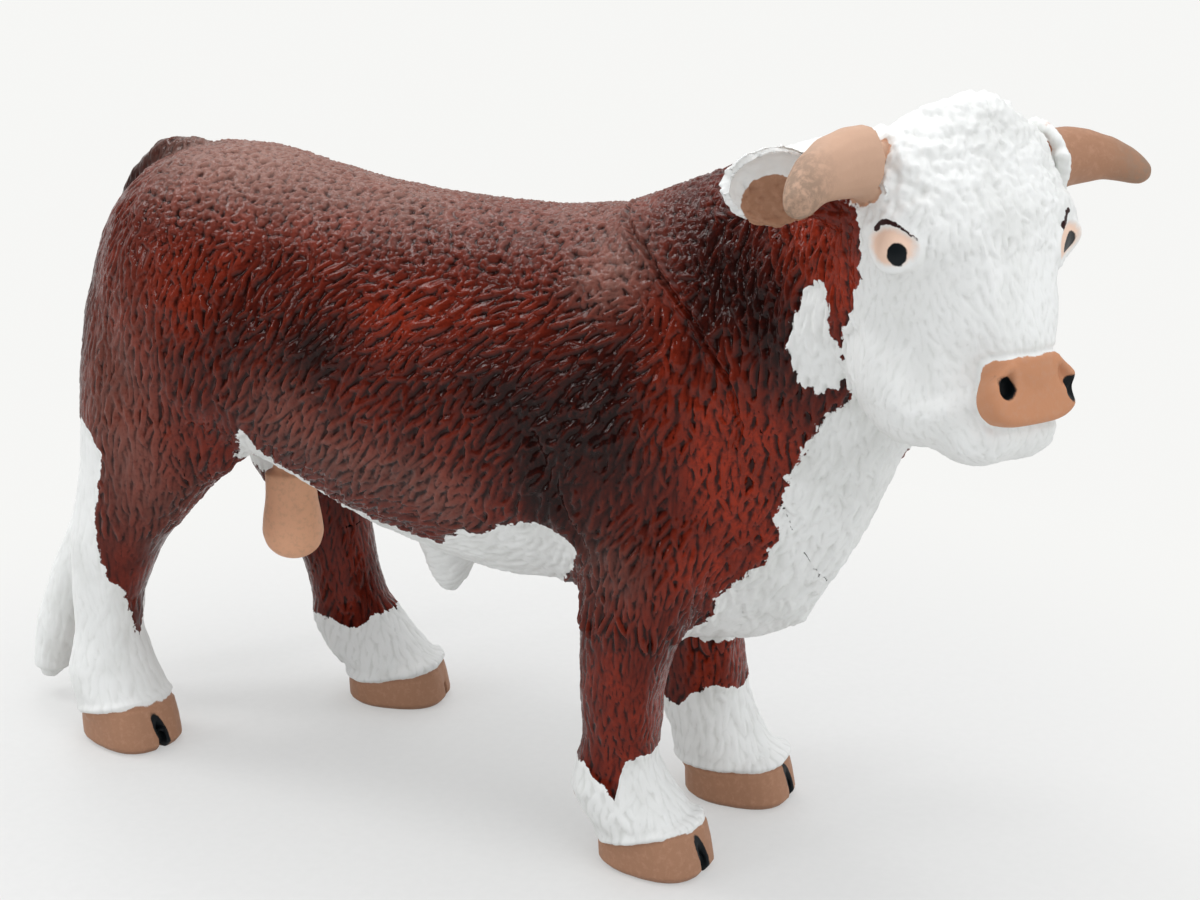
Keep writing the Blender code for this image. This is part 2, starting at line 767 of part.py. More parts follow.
def ear_leaf(bm, side):
    """A cupped leaf: an open grid, thickened afterwards."""
    seat, along, across, face, _ = ear_frame(side)
    columns = 6
    rows = []
    steps = 12
    for step in range(steps + 1):
        t = step / steps
        half = leaf_half_width(t)
        row = []
        for column in range(columns + 1):
            v = 2 * column / columns - 1
            cup = ear_cup * (v * v - 1) * min(1.0, 0.35 + t) + ear_cup * 0.5 * t * t
            place = seat + along * (joint_gap * 4 + t * ear_length) + across * (v * half) + face * cup
            row.append(bm.verts.new(place))
        rows.append(row)
    for first, second in zip(rows, rows[1:]):
        for column in range(columns):
            bm.faces.new((first[column], first[column + 1], second[column + 1], second[column]))
    bmesh.ops.recalc_face_normals(bm, faces=bm.faces)


def leaf_half_width(t):
    for (t0, w0), (t1, w1) in zip(ear_outline_shares, ear_outline_shares[1:]):
        if t <= t1:
            blend = (t - t0) / (t1 - t0)
            blend = blend * blend * (3 - 2 * blend)
            return ear_width * (w0 + (w1 - w0) * blend)
    return ear_width * ear_outline_shares[-1][1]


def ear_root(bm, side):
    """The stalk that fills the seat and runs into the leaf."""
    seat, along, _, face, turn = ear_frame(side)
    outward = turn @ Vector((0, side, 0))
    half = ear_root_diameter / 2
    rings = []
    for step, share in ((0.0, 1.0), (0.10, 1.0), (0.24, 0.80), (0.38, 0.35)):
        run = outward.lerp(along, min(step * 3, 1.0)).normalized()
        centre = seat + outward * joint_gap + run * (step * ear_length) - face * (ear_cup * step * 1.6)
        rings.append(oval_ring(centre, turn @ Vector((1, 0, 0)), turn @ Vector((0, 0, 1)), half * share,
                               half * share, half * share, sides=small_ring_sides))
    loft(bm, rings)


def ear_peg(bm, side, grow):
    seat, _, _, _, turn = ear_frame(side)
    inward = turn @ Vector((0, -side, 0))
    start = seat - inward * (joint_gap if grow == 0 else 0)
    oval_peg(bm, start, inward, turn @ Vector((0, 0, 1)), ear_peg_diameter, ear_peg_diameter * 0.8,
             peg_length + joint_gap, grow, joint_gap * 4, sides=12)


def ear_pocket(bm, side):
    seat, _, _, _, turn = ear_frame(side)
    outward = turn @ Vector((0, side, 0))
    half = ear_root_diameter / 2 + joint_gap
    rings = []
    for step in (0.0, ear_length):
        centre = seat + outward * step
        rings.append(oval_ring(centre, turn @ Vector((1, 0, 0)), turn @ Vector((0, 0, 1)), half, half, half,
                               sides=small_ring_sides))
    loft(bm, rings)


def tail_points(grow):
    points = []
    for place, over, height, half in tail_shares:
        spot = Vector((place * trunk_length, over * chest_width, height * withers_height))
        points.append((spot, half * tail_diameter + grow))
    for place, over, height, half in tassel_shares:
        spot = Vector((place * trunk_length, over * chest_width, height * withers_height))
        points.append((spot, half * tassel_width + grow))
    if grow:
        first, second = points[0], points[1]
        run = (first[0] - second[0]).normalized()
        points[0] = (first[0] + run * grow, first[1])
    return points


def tail_peg(bm, grow):
    """The pin under the head of the tail, from the middle of the strand down into the rump."""
    place, over, height, half = tail_shares[1]
    start = Vector((place * trunk_length, over * chest_width, height * withers_height))
    oval_peg(bm, start, Vector((0, 0, -1)), Vector((0, 1, 0)), tail_peg_diameter, tail_peg_diameter * 0.8,
             peg_length + half * tail_diameter, grow, 0, sides=12)


def scrotum_seat():
    return Vector((-0.345 * trunk_length, -0.012 * chest_width, 0.475 * withers_height))


def build_scrotum(bm):
    seat = scrotum_seat()
    half = scrotum_width / 2
    rings = []
    for down_share, wide_share in ((0.0, 0.62), (0.12, 0.64), (0.30, 0.74), (0.52, 0.93), (0.70, 1.0),
                                   (0.86, 0.86), (0.95, 0.60), (1.0, 0.26)):
        centre = seat - Vector((0, 0, joint_gap + down_share * scrotum_drop))
        rings.append(oval_ring(centre, Vector((0, 1, 0)), Vector((1, 0, 0)), half * wide_share * 0.92,
                               half * wide_share, half * wide_share, sides=18))
    loft(bm, rings)


def scrotum_peg(bm, grow):
    start = scrotum_seat() - Vector((0, 0, joint_gap if grow == 0 else 0))
    oval_peg(bm, start, Vector((0, 0, 1)), Vector((0, 1, 0)), scrotum_peg_diameter, scrotum_peg_diameter * 0.8,
             peg_length + joint_gap, grow, joint_gap * 4, sides=12)


def scrotum_pocket(bm):
    half = scrotum_width / 2 * 0.64 + joint_gap
    rings = []
    for down in (0.0, scrotum_drop * 0.5):
        centre = scrotum_seat() - Vector((0, 0, down))
        rings.append(oval_ring(centre, Vector((0, 1, 0)), Vector((1, 0, 0)), half * 0.96, half, half, sides=18))
    loft(bm, rings)


def add_helper(name, build, collection):
    helper = place_object(name, mesh_from(name, build), collection)
    helper.hide_render = True
    helper.display_type = "WIRE"
    return helper


def combine(target, helper, operation):
    step = target.modifiers.new(helper.name, "BOOLEAN")
    step.operation = operation
    step.solver = "EXACT"
    step.object = helper


def make_body(skin):
    body = place_object("body", skin.copy(), parts, oxblood_vinyl)
    combine(body, add_helper("hooves", add_hooves, cutters), "UNION")
    combine(body, add_helper("toe_clefts", add_clefts, cutters), "DIFFERENCE")
    combine(body, add_helper("seam_front", lambda bm: add_seam_block(bm, -joint_gap / 2), cutters), "DIFFERENCE")
    combine(body, add_helper("neck_socket", lambda bm: neck_plug(bm, joint_gap), cutters), "DIFFERENCE")
    channel = lambda bm: path_loft(bm, tail_points(joint_gap), Vector((0, 1, 0)), small_ring_sides)
    combine(body, add_helper("tail_channel", channel, cutters), "DIFFERENCE")
    combine(body, add_helper("tail_socket", lambda bm: tail_peg(bm, joint_gap), cutters), "DIFFERENCE")
    combine(body, add_helper("scrotum_pocket", scrotum_pocket, cutters), "DIFFERENCE")
    combine(body, add_helper("scrotum_socket", lambda bm: scrotum_peg(bm, joint_gap), cutters), "DIFFERENCE")
    return body


def make_head(skin):
    face = head_matrix()
    head = place_object("head_neck", skin.copy(), parts, cream_vinyl)
    combine(head, add_helper("seam_keep", lambda bm: add_seam_block(bm, joint_gap / 2), cutters), "INTERSECT")
    combine(head, add_helper("neck_plug", lambda bm: neck_plug(bm, 0.0), cutters), "UNION")
    combine(head, add_helper("muzzle_pad", lambda bm: add_muzzle_pad(bm, face), cutters), "UNION")
    combine(head, add_helper("nostrils", lambda bm: add_nostrils(bm, face), cutters), "DIFFERENCE")
    slit = add_helper("mouth_slit", lambda bm: mouth_plate(bm, face, mouth_depth, mouth_gap), cutters)
    core = add_helper("mouth_core", lambda bm: mouth_plate(bm, face, -mouth_depth, 2 * mouth_gap), cutters)
    combine(slit, core, "DIFFERENCE")
    combine(head, slit, "DIFFERENCE")

    def pockets(bm):
        for side in (-1, 1):
            horn_pocket(bm, side)
            ear_pocket(bm, side)

    def sockets(bm):
        for side in (-1, 1):
            horn_peg(bm, side, joint_gap)
            ear_peg(bm, side, joint_gap)

    combine(head, add_helper("head_pockets", pockets, cutters), "DIFFERENCE")
    combine(head, add_helper("head_sockets", sockets, cutters), "DIFFERENCE")
    return head


def make_horn(name, side):
    horn = place_object(name, mesh_from(name, lambda bm: build_horn(bm, side)), parts, tan_vinyl)
    combine(horn, add_helper(name + "_peg", lambda bm: horn_peg(bm, side, 0.0), cutters), "UNION")


def make_ear(name, side):
    ear = place_object(name, mesh_from(name, lambda bm: ear_leaf(bm, side)), parts, cream_vinyl)
    shell = ear.modifiers.new("thickness", "SOLIDIFY")
    shell.thickness = ear_thickness
    shell.offset = 0
    combine(ear, add_helper(name + "_root", lambda bm: ear_root(bm, side), cutters), "UNION")
    combine(ear, add_helper(name + "_peg", lambda bm: ear_peg(bm, side, 0.0), cutters), "UNION")


def make_tail():
    build = lambda bm: path_loft(bm, tail_points(0.0), Vector((0, 1, 0)), small_ring_sides)
    tail = place_object("tail", mesh_from("tail", build), parts, cream_vinyl)
    combine(tail, add_helper("tail_peg", lambda bm: tail_peg(bm, 0.0), cutters), "UNION")


def make_scrotum():
    sack = place_object("scrotum", mesh_from("scrotum", build_scrotum), parts, tan_vinyl)
    combine(sack, add_helper("scrotum_peg", lambda bm: scrotum_peg(bm, 0.0), cutters), "UNION")


def stand_on_origin():
    """Hangs every object on one empty and moves it so that the figure stands over the origin."""
    graph = bpy.context.evaluated_depsgraph_get()
    graph.update()
    low = Vector((math.inf, math.inf, math.inf))
    high = -low
    for obj in parts.objects:
        for vertex in obj.evaluated_get(graph).data.vertices:
            for axis in range(3):
                low[axis] = min(low[axis], vertex.co[axis])
                high[axis] = max(high[axis], vertex.co[axis])
    stand = bpy.data.objects.new("stand", None)
    parts.objects.link(stand)
    for obj in list(parts.objects) + list(cutters.objects):
        if obj is not stand:
            obj.parent = stand
    stand.location = (-(low.x + high.x) / 2, -(low.y + high.y) / 2, -low.z)
    print("moved to the origin by", [round(v, 5) for v in stand.location])


clear_scene()
parts = make_collection("toy_beef_bull")
cutters = make_collection("cutters")
oxblood_vinyl = make_material("oxblood_vinyl", oxblood, 0.35)
cream_vinyl = make_material("cream_vinyl", cream, 0.6)
tan_vinyl = make_material("tan_vinyl", horn_tan, 0.55)

skin = skin_object(parts)
make_body(skin)
make_head(skin)
for side_name, side_sign in (("right", -1), ("left", 1)):
    make_horn("horn_" + side_name, side_sign)
    make_ear("ear_" + side_name, side_sign)
make_tail()
make_scrotum()
stand_on_origin()
for part in parts.objects:
    if part.type == "MESH":
        part.data.shade_smooth()
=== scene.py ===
# %% [markdown]
# # A solid vinyl farm animal: a horned bull, painted by hand
#
# The real figure is cast in soft vinyl from a sculpted master, in a few mouldings that are pressed
# together, and then painted: a glossy oxblood coat, a satin white face, socks and belly, and matt
# tan horns, muzzle and hooves. This lesson takes the plain solids of the frame as the armature,
# fuses them into one skin, combs fur into it as a sculptor does with a loop tool, masks the paint
# areas, and cuts the skin back into the mouldings.

# %% Load the frame
import math

import bmesh
import bpy
import numpy as np
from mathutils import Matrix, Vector, kdtree
from mathutils.bvhtree import BVHTree


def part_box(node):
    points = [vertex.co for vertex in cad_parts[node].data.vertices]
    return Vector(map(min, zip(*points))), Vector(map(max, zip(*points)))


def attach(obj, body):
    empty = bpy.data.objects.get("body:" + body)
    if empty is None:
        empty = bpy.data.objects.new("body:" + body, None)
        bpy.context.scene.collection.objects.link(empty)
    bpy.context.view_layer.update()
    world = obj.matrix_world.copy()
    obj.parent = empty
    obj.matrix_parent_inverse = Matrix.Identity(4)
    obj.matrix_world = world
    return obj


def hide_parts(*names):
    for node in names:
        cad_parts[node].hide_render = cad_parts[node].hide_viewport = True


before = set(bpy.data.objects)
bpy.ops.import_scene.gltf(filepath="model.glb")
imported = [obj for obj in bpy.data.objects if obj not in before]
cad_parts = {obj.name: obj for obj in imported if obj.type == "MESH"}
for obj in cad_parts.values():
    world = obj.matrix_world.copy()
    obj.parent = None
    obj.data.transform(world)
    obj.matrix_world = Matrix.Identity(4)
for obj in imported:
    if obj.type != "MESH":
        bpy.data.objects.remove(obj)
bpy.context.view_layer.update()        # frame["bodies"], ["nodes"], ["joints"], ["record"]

print("frame holds", sorted(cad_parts))

# %% [markdown]
# ## The camera first
#
# The photograph looks from the bull's right and a little ahead of it, from slightly above. A long
# lens keeps the figure from stretching towards the camera. The camera is set before anything is
# modelled, so that every later look is taken from the same place.

# %% Camera
camera_turn = math.radians(30)
camera_rise = math.radians(18)
camera_distance = 0.267
camera_aim = Vector((0.0015, 0.02178, 0.0374))
camera_lens = 66.6


def look_along(obj, way):
    obj.rotation_mode = "QUATERNION"
    obj.rotation_quaternion = way.to_track_quat("-Z", "Y")


def set_camera():
    back = Vector((math.sin(camera_turn) * math.cos(camera_rise),
                   -math.cos(camera_turn) * math.cos(camera_rise), math.sin(camera_rise)))
    bpy.ops.object.camera_add(location=camera_aim + back * camera_distance)
    camera = bpy.context.active_object
    look_along(camera, -back)
    camera.data.lens = camera_lens
    camera.data.sensor_width = 36
    camera.data.clip_start = 0.01
    camera.data.clip_end = 10
    bpy.context.scene.camera = camera
    print("camera", round(camera_distance, 3), "m from the figure")


set_camera()

# %% [markdown]
# ## The measures of the figure
#
# All sculpting below is done in millimetres on the drawing of the figure: x runs towards the nose,
# y to the bull's left, z up, with the trunk's middle at y = 0. The frame stands a little off from
# that drawing, so one shift brings a point over. The head is turned to the right, so a second
# helper straightens the neck: along it, to its left, and up.

# %% From the frame to the drawing
millimetre = 0.001
drawing_shift = np.array((1.50, 6.28, 0.0))
head_turn = math.radians(30)
bend_start = 24.0
bend_length = 22.0
bend_radius = bend_length / head_turn
head_cos, head_sin = math.cos(head_turn), math.sin(head_turn)
bend_end = (bend_start + bend_radius * head_sin, -bend_radius * (1 - head_cos))


def on_drawing(places):
    return np.asarray(places, float) / millimetre - drawing_shift


def straighten(points):
    """(along, left, up) of each point, as if the neck weren't turned."""
    x, y, z = points.T
    ahead, aside = x - bend_start, y + bend_radius
    angle = np.arctan2(ahead, aside)
    past_x, past_y = x - bend_end[0], y - bend_end[1]
    far_along = bend_start + bend_length + past_x * head_cos - past_y * head_sin
    far_left = past_x * head_sin + past_y * head_cos
    before, within = angle <= 0, angle < head_turn
    along = np.where(before, x, np.where(within, bend_start + bend_radius * angle, far_along))
    left = np.where(before, y, np.where(within, np.hypot(ahead, aside) - bend_radius, far_left))
    return along, left, z


def swung(along, left, up):
    """The other way round, for one place ahead of the bend."""
    beyond = along - bend_start - bend_length
    x = bend_end[0] + beyond * head_cos + left * head_sin
    y = bend_end[1] - beyond * head_sin + left * head_cos
    return np.array((x, y, up))


# %% The head's own axes
face_pitch = math.radians(54)
eye_along, eye_up = 60.0, 74.8
head_ahead = np.array((head_cos, -head_sin, 0.0))
head_left = np.array((head_sin, head_cos, 0.0))
up = np.array((0.0, 0.0, 1.0))
face_down = head_ahead * math.cos(face_pitch) - up * math.sin(face_pitch)
face_out = head_ahead * math.sin(face_pitch) + up * math.cos(face_pitch)
eye_line = swung(eye_along, 0, eye_up)

muzzle_lean = math.radians(24)
pad_down = face_down * math.cos(muzzle_lean) - face_out * math.sin(muzzle_lean)
pad_out = face_out * math.cos(muzzle_lean) + face_down * math.sin(muzzle_lean)
pad_middle = eye_line + face_down * 14.12 - face_out * 1.65
print("muzzle pad at", np.round(pad_middle, 1), "on the drawing")

# %% [markdown]
# ## Copying the solids
#
# The solids of the frame are loose triangles, so each copy has its doubles merged. A copy is
# filled out by a fifth of a millimetre, because the mouldings stand 0.3 mm apart for their joints,
# and on the real figure the paint bridges that gap except along the neck.


# %% Copies
same_place = 0.000001   # corners closer than this are one corner


def pick(*objects):
    bpy.ops.object.select_all(action="DESELECT")
    for one in objects:
        one.select_set(True)
    bpy.context.view_layer.objects.active = objects[0]


def edit_all(operator, **settings):
    """Runs one operator on the whole of the picked mesh."""
    bpy.ops.object.mode_set(mode="EDIT")
    bpy.ops.mesh.select_all(action="SELECT")
    operator(**settings)
    bpy.ops.object.mode_set(mode="OBJECT")


def merged_copy(node, name):
    pick(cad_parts[node])
    bpy.ops.object.duplicate()
    copy = bpy.context.active_object
    copy.name = copy.data.name = name
    copy.parent = None
    for key in [k for k in copy.keys() if k.startswith("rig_")]:
        del copy[key]
    copy.data.materials.clear()
    edit_all(bpy.ops.mesh.remove_doubles, threshold=same_place)
    return copy


def apply_all(obj):
    pick(obj)
    for modifier in list(obj.modifiers):
        bpy.ops.object.modifier_apply(modifier=modifier.name)


def fill_out(obj, distance):
    swell = obj.modifiers.new("fill_out", "DISPLACE")
    swell.mid_level = 0
    swell.strength = distance
    apply_all(obj)


# %% [markdown]
# ## One skin
#
# A voxel remesh wraps all the copies in one even net of small quads, which is what sculpting
# needs: every stroke of fur then has several points across it. Inner shells, left over from the
# sockets, are thrown away.

# %% Wrap the copies in one net
joint_fill = 0.00021
net_size = 0.00026


def wrapped_skin():
    copies = [merged_copy(node, "skin_" + node) for node in sorted(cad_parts)]
    for copy in copies:
        fill_out(copy, joint_fill)
    pick(*copies)
    bpy.ops.object.join()
    skin = bpy.context.active_object
    skin.name = "skin"
    net = skin.modifiers.new("net", "REMESH")
    net.mode = "VOXEL"
    net.voxel_size = net_size
    apply_all(skin)
    edit_all(bpy.ops.mesh.separate, type="LOOSE")
    shells = sorted(bpy.context.selected_objects, key=lambda o: -len(o.data.vertices))
    for inner in shells[1:]:
        bpy.data.objects.remove(inner)
    skin = shells[0]
    skin.name = skin.data.name = "skin"
    fill_out(skin, -joint_fill)
    print("skin has", len(skin.data.vertices), "points,", len(shells) - 1, "inner shells dropped")
    return skin


skin = wrapped_skin()

# %% Reading and writing points
def read_rows(items, name, width=3, kind=np.float32):
    """One row of numbers for each vertex, edge or face."""
    flat = np.empty(len(items) * width, kind)
    items.foreach_get(name, flat)
    return flat.reshape(-1, width)


def read_points(obj):
    vertices = obj.data.vertices
    return on_drawing(read_rows(vertices, "co")), read_rows(vertices, "normal").astype(float)


def write_points(obj, points):
    flat = ((points + drawing_shift) * millimetre).astype(np.float32).reshape(-1)
    obj.data.vertices.foreach_set("co", flat)
    obj.data.update()


def write_value(obj, name, values):
    obj.data.attributes.new(name, "FLOAT", "POINT").data.foreach_set("value", values.astype(np.float32))


# %% [markdown]
# ## Softening, but not everywhere
#
# The solids are faceted, and soft vinyl isn't. A Smooth modifier takes the facets out. Hooves,
# muzzle, ears, horns and tail would melt, so a vertex group holds them back.

# %% Feet
foot_places = (  # name, along, left, turn of the foot in degrees
    ("leg_fore_right", 21.7, -9.80, -3),
    ("leg_fore_left", 22.2, 10.19, 8),
    ("leg_hind_right", -50.5, -14.20, -12),
    ("leg_hind_left", -28.5, 12.70, 18),
)
hoof_heels = (3.0, 4.4, 3.7, 3.2)   # height of the painted horn at the heel of each foot
hoof_toes = (5.5, 4.9, 5.9, 4.9)
hoof_length = 8.5
heel_back = 4.0   # how far behind the foot's middle the heel is


def nearest_foot(points):
    gaps = [np.hypot(points[:, 0] - x, points[:, 1] - y) for _, x, y, _ in foot_places]
    return np.argmin(gaps, axis=0)


def foot_ways(points):
    """The nearest foot, and how far ahead of its middle and to its left each point is."""
    foot = nearest_foot(points)
    along, left, turn = (np.array(column)[foot] for column in list(zip(*foot_places))[1:])
    off_x, off_y = points[:, 0] - along, points[:, 1] - left
    cos, sin = np.cos(np.radians(turn)), np.sin(np.radians(turn))
    return foot, off_x * cos + off_y * sin, off_y * cos - off_x * sin


def hoof_line(points):
    """The height of the painted horn's upper edge around each foot."""
    foot, ahead, _ = foot_ways(points)
    heel, toe = np.array(hoof_heels)[foot], np.array(hoof_toes)[foot]
    return heel + (toe - heel) * np.clip((ahead + heel_back) / hoof_length, 0, 1)


# %% Soft weights
def ramp(values, low, high):
    """0 below the low value and 1 above the high one, with a smooth rise between them."""
    share = np.clip((values - low) / (high - low), 0, 1)
    return share * share * (3 - 2 * share)


def fall(values, low, high):
    return 1 - ramp(values, low, high)


def hump(value, middle, half):
    """1 at the middle, with a soft slope down on both sides."""
    return np.exp(-((value - middle) / half) ** 2)


# %% Where the skin stays crisp
def hold_back(obj):
    points, _ = read_points(obj)
    along, left, height = straighten(points)
    muzzle = np.exp(-((points - pad_middle) ** 2).sum(1) / 7.5 ** 2)
    hooves = fall(height, 5.0, 9.0)
    top = (0.4 * ramp(height, 71, 74) + 0.6 * ramp(height, 78.5, 81)) * ramp(np.abs(left), 8.5, 11.0)
    tail = fall(points[:, 0], -61.0, -58.0)
    held = np.maximum.reduce((muzzle * 0.85, hooves * 0.9, top * 0.7, tail * 0.8))
    weight = np.round(np.clip(1 - held, 0.05, 1), 1)
    group = obj.vertex_groups.new(name="soften")
    for level in np.unique(weight):
        group.add(np.flatnonzero(weight == level).tolist(), float(level), "REPLACE")
    return group


def soften(obj, turns):
    smooth = obj.modifiers.new("soften", "SMOOTH")
    smooth.factor = 0.5
    smooth.iterations = turns
    smooth.vertex_group = hold_back(obj).name
    apply_all(obj)


smoothing_turns = 38
soften(skin, smoothing_turns)
points, normals = read_points(skin)
print("softened", len(points), "points")

# %% [markdown]
# ## The planes of the face
#
# The plain solid has a boxy head. The real one narrows from the eyes to the muzzle, has a flat
# bridge with a bony edge down each side, and is hollow under the eye. The points are pushed as
# with a wide sculpting tool, each form by its own soft weight.


# %% Face forms
def face_place(points):
    """(over to the right, down the face, out of the face) from between the eyes."""
    offset = points - eye_line
    return offset @ -head_left, offset @ face_down, offset @ face_out


def shape_face(points):
    over, down, out = face_place(points)
    front = ramp(out, -9.0, -4.0)
    wide = np.abs(over)
    bridge = ramp(down, 0.5, 5.5) * fall(down, 12.0, 14.5) * front
    move_over = -over * 0.15 * bridge
    far_side = ramp(-over, 4.5, 7.5) * front
    move_over += (0.60 * hump(down, 0.0, 3.5) - 0.45 * hump(down, 8.5, 3.0)) * far_side
    corner = ramp(-over, 3.5, 7.5) * fall(-over, 10.5, 14.0) * fall(down, -3.5, -1.0)
    move_over += 1.3 * corner * ramp(out, -12.0, -6.0)
    move_out = -0.045 * np.clip(wide - 3.2, 0, 6) ** 2 * bridge
    move_out += 0.30 * hump(wide, 4.6 - 0.05 * down, 0.9) * bridge
    move_out -= 0.35 * hump(wide, 7.2, 1.8) * hump(down, 5.0, 3.0) * front
    near_pad = np.exp(-((points - pad_middle) @ pad_down / 5.5) ** 4) * np.exp(-(over / 8.5) ** 6)
    near_pad *= ramp((points - pad_middle) @ pad_out, -4.0, -1.0)
    pad_drop = (points - pad_middle) @ pad_down
    moved = points + np.outer(move_over - 0.14 * over * near_pad, -head_left) + np.outer(move_out, face_out)
    return moved + np.outer(-0.10 * pad_drop * near_pad, pad_down)


points = shape_face(points)

# %% Leg forms
view_right = np.array((0.866, 0.5))   # the way that is to the right in the photograph
leg_forms = (  # for each foot: height, rear and front edge in that view, pull on each
    ((5, 6.2, 19.5, 0, 0), (9, 5.8, 16.9, -1.3, 0.5), (12, 5.8, 16.5, -0.6, 1.4), (15, 5.8, 16.9, 0, 1.9),
     (18, 5.7, 17.3, 0, 2.5), (21, 5.5, 17.9, 0, 3.1), (24, 5, 18.4, 0.5, 2.9), (27.6, 4.3, 19.2, 1.3, 2.2),
     (30.5, 3.2, 20, 2.4, 1.5), (33.2, 2.2, 20.8, 3.2, 0.9), (36, 1.5, 21.5, 3.1, 0.3), (41, 1, 22, 0, 0)),
    ((8, 16, 27.5, 0, 0), (10, 16, 26.8, -0.8, 0.1), (12, 15.9, 26.1, -1.4, 0.3), (15, 16, 26.7, -1.6, 1.4),
     (18, 16, 27.6, -1.6, 2.8), (21, 16.1, 29, -1.6, 4.2), (24, 15.8, 29.2, -1.2, 4), (28, 15.5, 29.5, 0, 2),
     (32, 15, 30, 0, 0)),
    ((6, -57.9, -45, 0, 0), (9, -57.9, -46.9, -0.5, 0), (12, -57.5, -47.4, -0.3, 0.4),
     (15, -57.3, -47.3, 0, 1.2), (19, -57.3, -46.7, 0, 1.3), (24, -57.2, -44.5, 0, 0.6),
     (31, -57, -40.4, 0, 0.5), (35, -57, -37.6, 0, 0.2), (39, -57, -35, 0, 0)),
    ((5, -26.4, -12.5, -0.3, 0), (7, -26.8, -14, -1.2, 0), (10, -28, -16.8, -1.6, 0.3),
     (13, -29, -18.4, -0.9, 1), (17, -30.8, -19.6, -0.1, 1.2), (20, -32, -20.1, 0, 1.2),
     (24, -33.9, -20.7, 0, 1.2), (29, -35.1, -20.4, 0, 1), (34, -35.3, -20, 0, 0.5), (38, -35, -20, 0, 0)),
)


def draw_in_legs(points):
    """Brings the legs in to the slimmer outline of the real ones, height by height."""
    right = points[:, :2] @ view_right
    foot = nearest_foot(points)
    moved = points.copy()
    for i, form in enumerate(leg_forms):
        heights, rears, fronts, rear_pulls, front_pulls = np.array(form, float).T
        on_side = (foot == i) & (points[:, 1] * foot_places[i][2] > 0)
        mine = on_side & (points[:, 2] > heights[0]) & (points[:, 2] < heights[-1])
        at = points[mine, 2]
        rear, front = np.interp(at, heights, rears), np.interp(at, heights, fronts)
        share = (2 * right[mine] - rear - front) / (front - rear)
        pull = np.interp(at, heights, rear_pulls) * ramp(-share, -0.3, 1.0)
        pull -= np.interp(at, heights, front_pulls) * ramp(share, -0.3, 1.0)
        pull *= fall(np.abs(share), 1.2, 1.8) * ramp(np.abs(points[mine, 1]), 3.0, 6.0)
        moved[mine, :2] += np.outer(pull, view_right)
    return moved


# %% Throat and belly
throat_back = 1.4   # how far the loose skin of the throat goes back
belly_lift = 1.4    # how far the belly behind the elbow goes up
sheath_drop = 0.8


def trim_dewlap(points, normals):
    """Takes the loose skin of the throat back a little, and lifts the belly behind the elbow."""
    along, left, height = straighten(points)
    x, y, z = points.T
    ahead = ramp(normals[:, :2] @ view_right, 0.1, 0.8) * fall(np.abs(left), 6.5, 10.0)
    span = ramp(z, 25, 33) * fall(z, 54, 60) * fall(along, 47, 51) * ramp(along, 20, 26)
    moved = points.copy()
    moved[:, :2] -= np.outer(throat_back * ahead * span, view_right)
    below = ramp(-normals[:, 2], 0.2, 0.8) * fall(np.abs(y), 7, 10)
    below *= ramp(z, 26, 30) * fall(z, 40, 43)
    moved[:, 2] += belly_lift * hump(x, 7.0, 6.0) * below
    moved[:, 2] -= sheath_drop * hump(x, -11.0, 4.0) * fall(z, 28, 33) * (np.abs(y) < 6)
    return moved


before = points
points = trim_dewlap(draw_in_legs(points), normals)
print("legs, throat and belly move by up to", round(float(np.abs(points - before).max()), 1), "mm")
write_points(skin, points)
points, normals = read_points(skin)

# %% [markdown]
# ## Which moulding a point belongs to
#
# Every point near a small moulding asks how far it is from that moulding and from the nearest of
# the others. Half the difference of the two distances is smooth, so it gives a clean edge for the
# paint of horns and ears, and for the cut that later parts the skin.

# %% Distances to the mouldings
def surface_of(node):
    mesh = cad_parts[node].data
    corners = [tuple(place) for place in on_drawing([v.co for v in mesh.vertices])]
    return BVHTree.FromPolygons(corners, [tuple(p.vertices) for p in mesh.polygons])


small_nodes = ("horn_right", "horn_left", "ear_right", "ear_left", "tail", "scrotum")
margin = 2.5
far_outside = -9.0   # stands for a place that an area doesn't reach


def ownership(points):
    """For each small moulding, how much nearer it is than any of the others, in millimetres."""
    surfaces = {node: surface_of(node) for node in sorted(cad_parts)}
    nearer = {}
    for node in small_nodes:
        low, high = on_drawing(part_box(node))
        close = np.flatnonzero(((points > low - margin) & (points < high + margin)).all(1))
        score = np.full(len(points), far_outside)
        for i in close:
            gaps = {other: surface.find_nearest(Vector(points[i]))[3] for other, surface in surfaces.items()}
            own = gaps.pop(node)
            score[i] = (min(gaps.values()) - own) / 2
        nearer[node] = score
        print(node, "owns", int((score > 0).sum()), "points")
    return nearer


nearer = ownership(points)

# %% [markdown]
# ## The seam of the neck
#
# On the real figure the neck is a second moulding, and its joint shows: a groove with a raised
# line on each side, from the withers to the point of the shoulder, where it fades out.

# %% Seam
seam_line = ((10.0, 120.0), (13.9, 72.2), (20.5, 69.0), (27.5, 63.6), (32.2, 57.9), (33.2, 53.6),
             (31.8, 48.6), (30.6, 41.5), (30.0, 17.9), (30.0, 0.0))


def line_gap(line, across, upward):
    """The distance from each place to an open line, in millimetres."""
    best = np.full(across.shape, np.inf)
    for (ax, az), (bx, bz) in zip(line, line[1:]):
        run_x, run_z = bx - ax, bz - az
        share = np.clip(((across - ax) * run_x + (upward - az) * run_z) / (run_x ** 2 + run_z ** 2), 0, 1)
        best = np.minimum(best, np.hypot(across - ax - share * run_x, upward - az - share * run_z))
    return best


